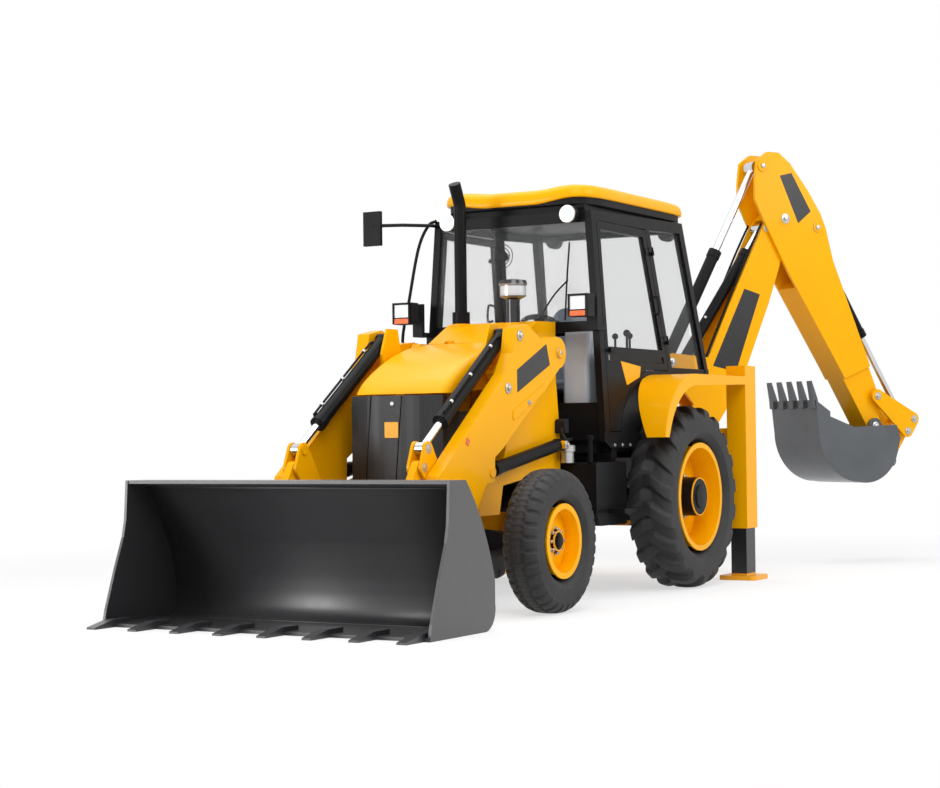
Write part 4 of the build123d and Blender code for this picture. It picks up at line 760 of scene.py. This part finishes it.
# Boom and dipper signs: thin bare panels of dark plastic, stuck on the outer faces of the
# boom and the dipper.
def on_member(start, end, along, above):
    """Reach and height of a point given along and square to a member of the digging end."""
    start, end = np.asarray(start, float), np.asarray(end, float)
    line = (end - start) / np.hypot(*(end - start))
    square = np.array((-line[1], line[0]))
    return start + np.outer(along, line) + np.outer(above, square)


boom_ends = ((270, 950), (1205, 2823))
dipper_ends = ((1205, 2823), (2100, 1130))
boom_sign = on_member(*boom_ends, (1400, 1430, 760, 700), (95, -60, -120, 100))
dipper_sign = on_member(*dipper_ends, (-330, -300, 60, 90), (120, 238, 262, 100))
for side_name, side in sides:
    outward = tuple(side * part for part in digging_left)
    for name, outline, face in (("boom", boom_sign, 100), ("dipper", dipper_sign, 130)):
        plate(f"{name}_sign_{side_name}",
              digging(outline[:, 0], side * (face - sunk), outline[:, 1]), outward, 0.0015,
              sign_black, name)

# Boom pipes: two steel pipes in black enamel, clipped along the boom's back, one at each
# of its edges.
pipe_spots = on_member(*boom_ends, (620, 900, 1300, 1700, 1960), (182, 184, 184, 180, 168))
tube("boom_pipes", [digging(pipe_spots[:, 0], across, pipe_spots[:, 1]) for across in (-88, 88)],
     0.009, black_enamel, "boom")

# Badge plate and lock: a bare square of yellow sheet, riveted to the front panel, and a
# plated lock above it.
badge = np.array([(-58, 1078), (42, 1078), (42, 1176), (-58, 1176)])
plate("front_badge", at(2504.5, badge[:, 0], badge[:, 1]), (1.0, 0.0, 0.0), 0.003, enamel,
      "chassis")
turned("front_lock", np.array([(0, 0), (0, 15), (6, 15), (8, 12), (8, 0)]) / 1000,
       [at(2504, 0, 1288)], (1.0, 0.0, 0.0), plated, "chassis", 24)

# Wiper: a black steel arm and rubber blade on the windscreen, which turn on a pivot in
# the bar below it.
wiper_arm = np.array([(962, 205, 1866), (964, 330, 2030), (966, 442, 2132)])
wiper_blade = np.array([(962, 414, 1860), (960, 430, 2130), (958, 452, 2385)])
tube("wiper", [at(*wiper_arm.T), at(*wiper_blade.T)], 0.006, moulded, "chassis")
turned("wiper_pivot", np.array([(0, 0), (0, 16), (14, 16), (18, 10), (18, 0)]) / 1000,
       [at(952, 205, 1866)], (1.0, 0.0, 0.0), moulded, "chassis", 20)

# Handrail: a bent steel tube in black, up the cab's right front corner and bolted to the
# post at both ends.
rail = np.array([(957, 596, 2600), (1000, 640, 2560), (1035, 700, 2400), (1042, 775, 2050),
                 (1040, 835, 1760), (1010, 800, 1600), (956, 690, 1540)])
tube("handrail", [at(rail[:, 0], -rail[:, 1], rail[:, 2])], 0.011, moulded, "chassis")

# Door trim: a tubular handle by the pane's edge, a bare yellow sign panel and a black
# strip under the pane, screwed or stuck to each door.
side_lean = radians(4.0)


def on_door(along, up, out, side):
    """A place on the cab's leaning side: along it, up it from the floor, and outward."""
    return at(along, side * (720 - np.asarray(up) * sin(side_lean) + out * cos(side_lean)),
              1040 + np.asarray(up) * cos(side_lean) + out * sin(side_lean))


sign_on_door = np.array([(665, 545), (350, 515), (380, 440), (595, 380)])
strip_on_door = np.array([(835, 592), (0, 592), (-28, 545), (838, 545)])
for side_name, side in sides:
    body = f"door_{side_name}"
    outward = (0.0, side * cos(side_lean), sin(side_lean))
    plate(f"door_sign_{side_name}",
          on_door(sign_on_door[:, 0], sign_on_door[:, 1], -sunk, side), outward, 0.0015, enamel,
          body)
    plate(f"door_slot_{side_name}",
          on_door(strip_on_door[:, 0], strip_on_door[:, 1], 0.2, side), outward, 0.002, moulded,
          body)
    handle = [on_door(60, up, out, side) for up, out in ((1010, -4), (1010, 40), (900, 40),
                                                         (900, -4))]
    tube(f"door_handle_{side_name}", [np.stack(handle)], 0.009, moulded, body)

# Lift valve: a cast block bolted to the tower behind the ram, with a row of black rubber
# hoses that bend from its foot back under the cab.
valve = np.array([(1222, 1096), (1282, 1096), (1282, 1176), (1262, 1190), (1222, 1190)])
plate("lift_valve", at(valve[:, 0], 490, valve[:, 1]), (0.0, 1.0, 0.0), 0.075, moulded,
      "chassis", 0.004)
hoses = []
hose_count = 4
for shift in range(hose_count):
    start_x = 1230 + 15 * shift
    out_y = 508 + 14 * (shift % 2) + 20 * (shift // 2)
    hoses.append(at(np.array([start_x, start_x, start_x - 18, start_x - 70, 1100]),
                    np.array([out_y, out_y, out_y + 3, out_y - 4, 480 + 12 * shift]),
                    np.array([1110, 1082, 1050, 1030, 1034]) + 7 * shift))
rubber_hose = grained("hose_rubber", (0.012, 0.012, 0.012), (0.02, 0.02, 0.02), 0.5, 0.05,
                      14.0, 0.1, specular=0.3)
tube("tower_hoses", hoses, 0.011, rubber_hose, "chassis")

# Side fittings: a black steel sill plate bolted under each door, and on the left a filler
# neck with its plated cap, with a short black post behind it.
sill = np.array([(455, 992), (905, 992), (1000, 1040), (1000, 1098), (455, 1098)])
for side_name, side in sides:
    outward = (0.0, float(side), 0.0)
    plate(f"sill_plate_{side_name}", at(sill[:, 0], side * 712, sill[:, 1]), outward, 0.006,
          black_enamel, "chassis")
    turned(f"sill_bolts_{side_name}", washer * (0.5, 0.35) / 1000,
           [at(x, side * 717, 1012) for x in (610, 730, 850)], outward, plated, "chassis",
           16)
turned("filler_cap", np.array([(0, 0), (0, 44), (70, 44), (74, 54), (112, 54), (118, 46),
                               (118, 0)]) / 1000, [at(1240, 560, 900)], (0.0, 0.0, 1.0),
       plated, "chassis", 36)
turned("side_post", np.array([(0, 0), (0, 17), (150, 17), (156, 24), (176, 24), (180, 18),
                              (180, 0)]) / 1000, [at(1165, 690, 900)], (0.0, 0.0, 1.0),
       black_enamel, "chassis", 24)

# Cab fittings: a small black fan whose bent stem hangs from the roof, and a pale cover
# moulded in plastic, which stands beside the steering column.
fan_turn = np.linspace(0, 2 * pi, 25)
fan_guard = [at(862, -126 + radius * np.cos(fan_turn), 2330 + radius * np.sin(fan_turn))
             for radius in (85, 62, 40)]
tube("fan_guard", fan_guard, 0.003, moulded, "chassis")
turned("fan_motor", np.array([(-50, 0), (-50, 30), (-8, 34), (0, 26), (4, 0)]) / 1000,
       [at(862, -126, 2330)], (1.0, 0.0, 0.0), moulded, "chassis", 28)
fan_stem = np.array([(820, -126, 2330), (822, -150, 2400), (840, -240, 2520),
                     (880, -300, 2598)])
tube("fan_stem", [at(*fan_stem.T)], 0.009, moulded, "chassis")
pale_plastic = grained("pale_plastic", (0.52, 0.57, 0.62), (0.48, 0.53, 0.58), 0.5, 0.05, 9.0,
                       0.05)
cover = np.array([(560, 1100), (850, 1100), (865, 1560), (820, 1800), (700, 1850),
                  (580, 1640)])
plate("console_cover", at(cover[:, 0], 330, cover[:, 1]), (0.0, 1.0, 0.0), 0.2, pale_plastic,
      "chassis", 0.025)

# Shovel wear plate: a thin rolled plate welded over the inside of the back, which carries
# the heel's curve smoothly up into the long sweep of the back.
liner_side = along_route([(3420, 0, 24), (3345, 0, 26), (3300, 0, 44), (3272, 0, 84),
                          (3262, 0, 150), (3266, 0, 220), (3278, 0, 290), (3303, 0, 380),
                          (3332, 0, 460), (3360, 0, 520), (3391, 0, 580), (3425, 0, 640),
                          (3463, 0, 700), (3504, 0, 760), (3534, 0, 800)], 6)
liner_wide = np.linspace(-1100, 1100, 3)
liner_points = np.stack([at(liner_side[:, 0], wide, liner_side[:, 2]) for wide in liner_wide],
                        axis=1)
liner = skin("shovel_wear_plate", liner_points[:, ::-1], charcoal, "shovel")
liner_wall = liner.modifiers.new("wall", "SOLIDIFY")
liner_wall.thickness = 0.005
liner_wall.offset = -1

# Front panel creases: two beads of black sheet that run down the front panel, pressed
# with it from one piece.
right_crease = np.array([(2498, -162, 1338), (2488, -220, 644)])
left_crease = np.array([(2504, 67, 1338), (2505, 6, 644)])
tube("panel_creases", [at(*right_crease.T), at(*left_crease.T)], 0.004, black_enamel,
     "chassis", smooth=False)

# Lamp rims: a moulded black frame clipped round each head lamp, with a bar over its
# indicator, and a plated steel bezel pressed round each work lamp.
rim_bars = [
    # near side, far side, lower edge, upper edge
    (612, 748, 1994, 2008), (612, 748, 1862, 1864), (612, 622, 1862, 2008),
    (738, 748, 1862, 2008), (612, 748, 1898, 1906)]
rims = []
for side_name, side in sides:
    for near, far, low, high in rim_bars:
        corner = np.array([(near, low), (far, low), (far, high), (near, high)])
        rims.append(np.concatenate([at(rim_x, side * corner[:, 0], corner[:, 1])
                                    for rim_x in (1288, 1309)]))
box_faces = np.array([(0, 1, 2, 3), (4, 5, 6, 7), (0, 1, 5, 4), (1, 2, 6, 5), (2, 3, 7, 6),
                      (3, 0, 4, 7)])
closed("lamp_rims", np.concatenate(rims),
       np.concatenate([box_faces + 8 * number for number in range(len(rims))]).tolist(),
       moulded, "chassis", bevel=0.0015)
for name, x, outward in (("front", 1020, 1.0), ("rear", -620, -1.0)):
    turned(f"work_lamp_rims_{name}",
           np.array([(-8, 59), (4, 60), (7, 57), (7, 50), (3, 46), (-8, 46), (-8, 59)]) / 1000,
           [at(x, side * 470, 2572) for side in (1, -1)], (outward, 0.0, 0.0), plated,
           "chassis", 48)

# Roof: one moulded yellow shell with a rolled edge, higher over the doors than over the
# windscreen, on a moulded black lining that closes it against the cab's posts.
roof_low, roof_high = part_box("cab_roof")
roof_middle = (roof_low + roof_high) / 2
roof_turn = np.linspace(0, 2 * pi, 360, endpoint=False)


def roof_ring(inset, share):
    """A ring of the roof: a rounded rectangle, where the seventh powers of x and y, each
    over its half side, add up to one, inset metres inside the edge. Its height is a share
    of the way from the shell's lower edge to its top, and both dip over the windscreen."""
    long_half = (roof_high.x - roof_low.x) / 2 - inset
    wide_half = (roof_high.y - roof_low.y) / 2 - inset
    cosine, sine = np.cos(roof_turn), np.sin(roof_turn)
    reach = (np.abs(cosine / long_half) ** 7 + np.abs(sine / wide_half) ** 7) ** (-1 / 7)
    x, y = reach * cosine, reach * sine
    in_front = rise(0.72, 1.0, x / long_half) * (1 - rise(0.30, 0.85, np.abs(y) / wide_half))
    lower = roof_high.z - 0.098 - 0.036 * in_front
    upper = roof_high.z - 0.001 - 0.024 * in_front
    return np.stack([roof_middle.x + x, roof_middle.y + y,
                     lower + share * (upper - lower)], axis=-1)


def flat_ring(inset, height):
    """A ring of the roof's outline, inset metres inside the edge and level at a height."""
    ring = roof_ring(inset, 0.0)
    ring[:, 2] = height
    return ring


def ringed(name, rows, finish, crease):
    """A closed piece of the chassis through rings of points, its first and last ring
    filled to their middles."""
    first, last = rows[0], rows[-1]
    rows = [np.broadcast_to(first.mean(axis=0), first.shape), *rows,
            np.broadcast_to(last.mean(axis=0), last.shape)]
    return closed(name, np.concatenate(rows), grid_faces(len(rows), len(roof_turn)).tolist(),
                  finish, "chassis", crease)


roof_rows = [roof_ring(0.60, 0.06), roof_ring(0.040, 0.04), roof_ring(0.012, 0.0),
             roof_ring(0.004, 0.03), roof_ring(0.0, 0.12), roof_ring(0.0, 0.30),
             roof_ring(0.003, 0.52), roof_ring(0.010, 0.70), roof_ring(0.024, 0.84),
             roof_ring(0.050, 0.93), roof_ring(0.10, 0.975), roof_ring(0.20, 0.99),
             roof_ring(0.40, 0.995), roof_ring(0.60, 1.0)]
roof_shell = ringed("roof_shell", roof_rows, enamel, 60)
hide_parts("cab_roof")
lining_foot = roof_low.z + 0.001
lining_rows = [flat_ring(0.60, lining_foot), flat_ring(0.030, lining_foot),
               flat_ring(0.022, lining_foot + 0.004), roof_ring(0.020, 0.02),
               roof_ring(0.60, 0.02)]
ringed("roof_lining", lining_rows, moulded, 40)
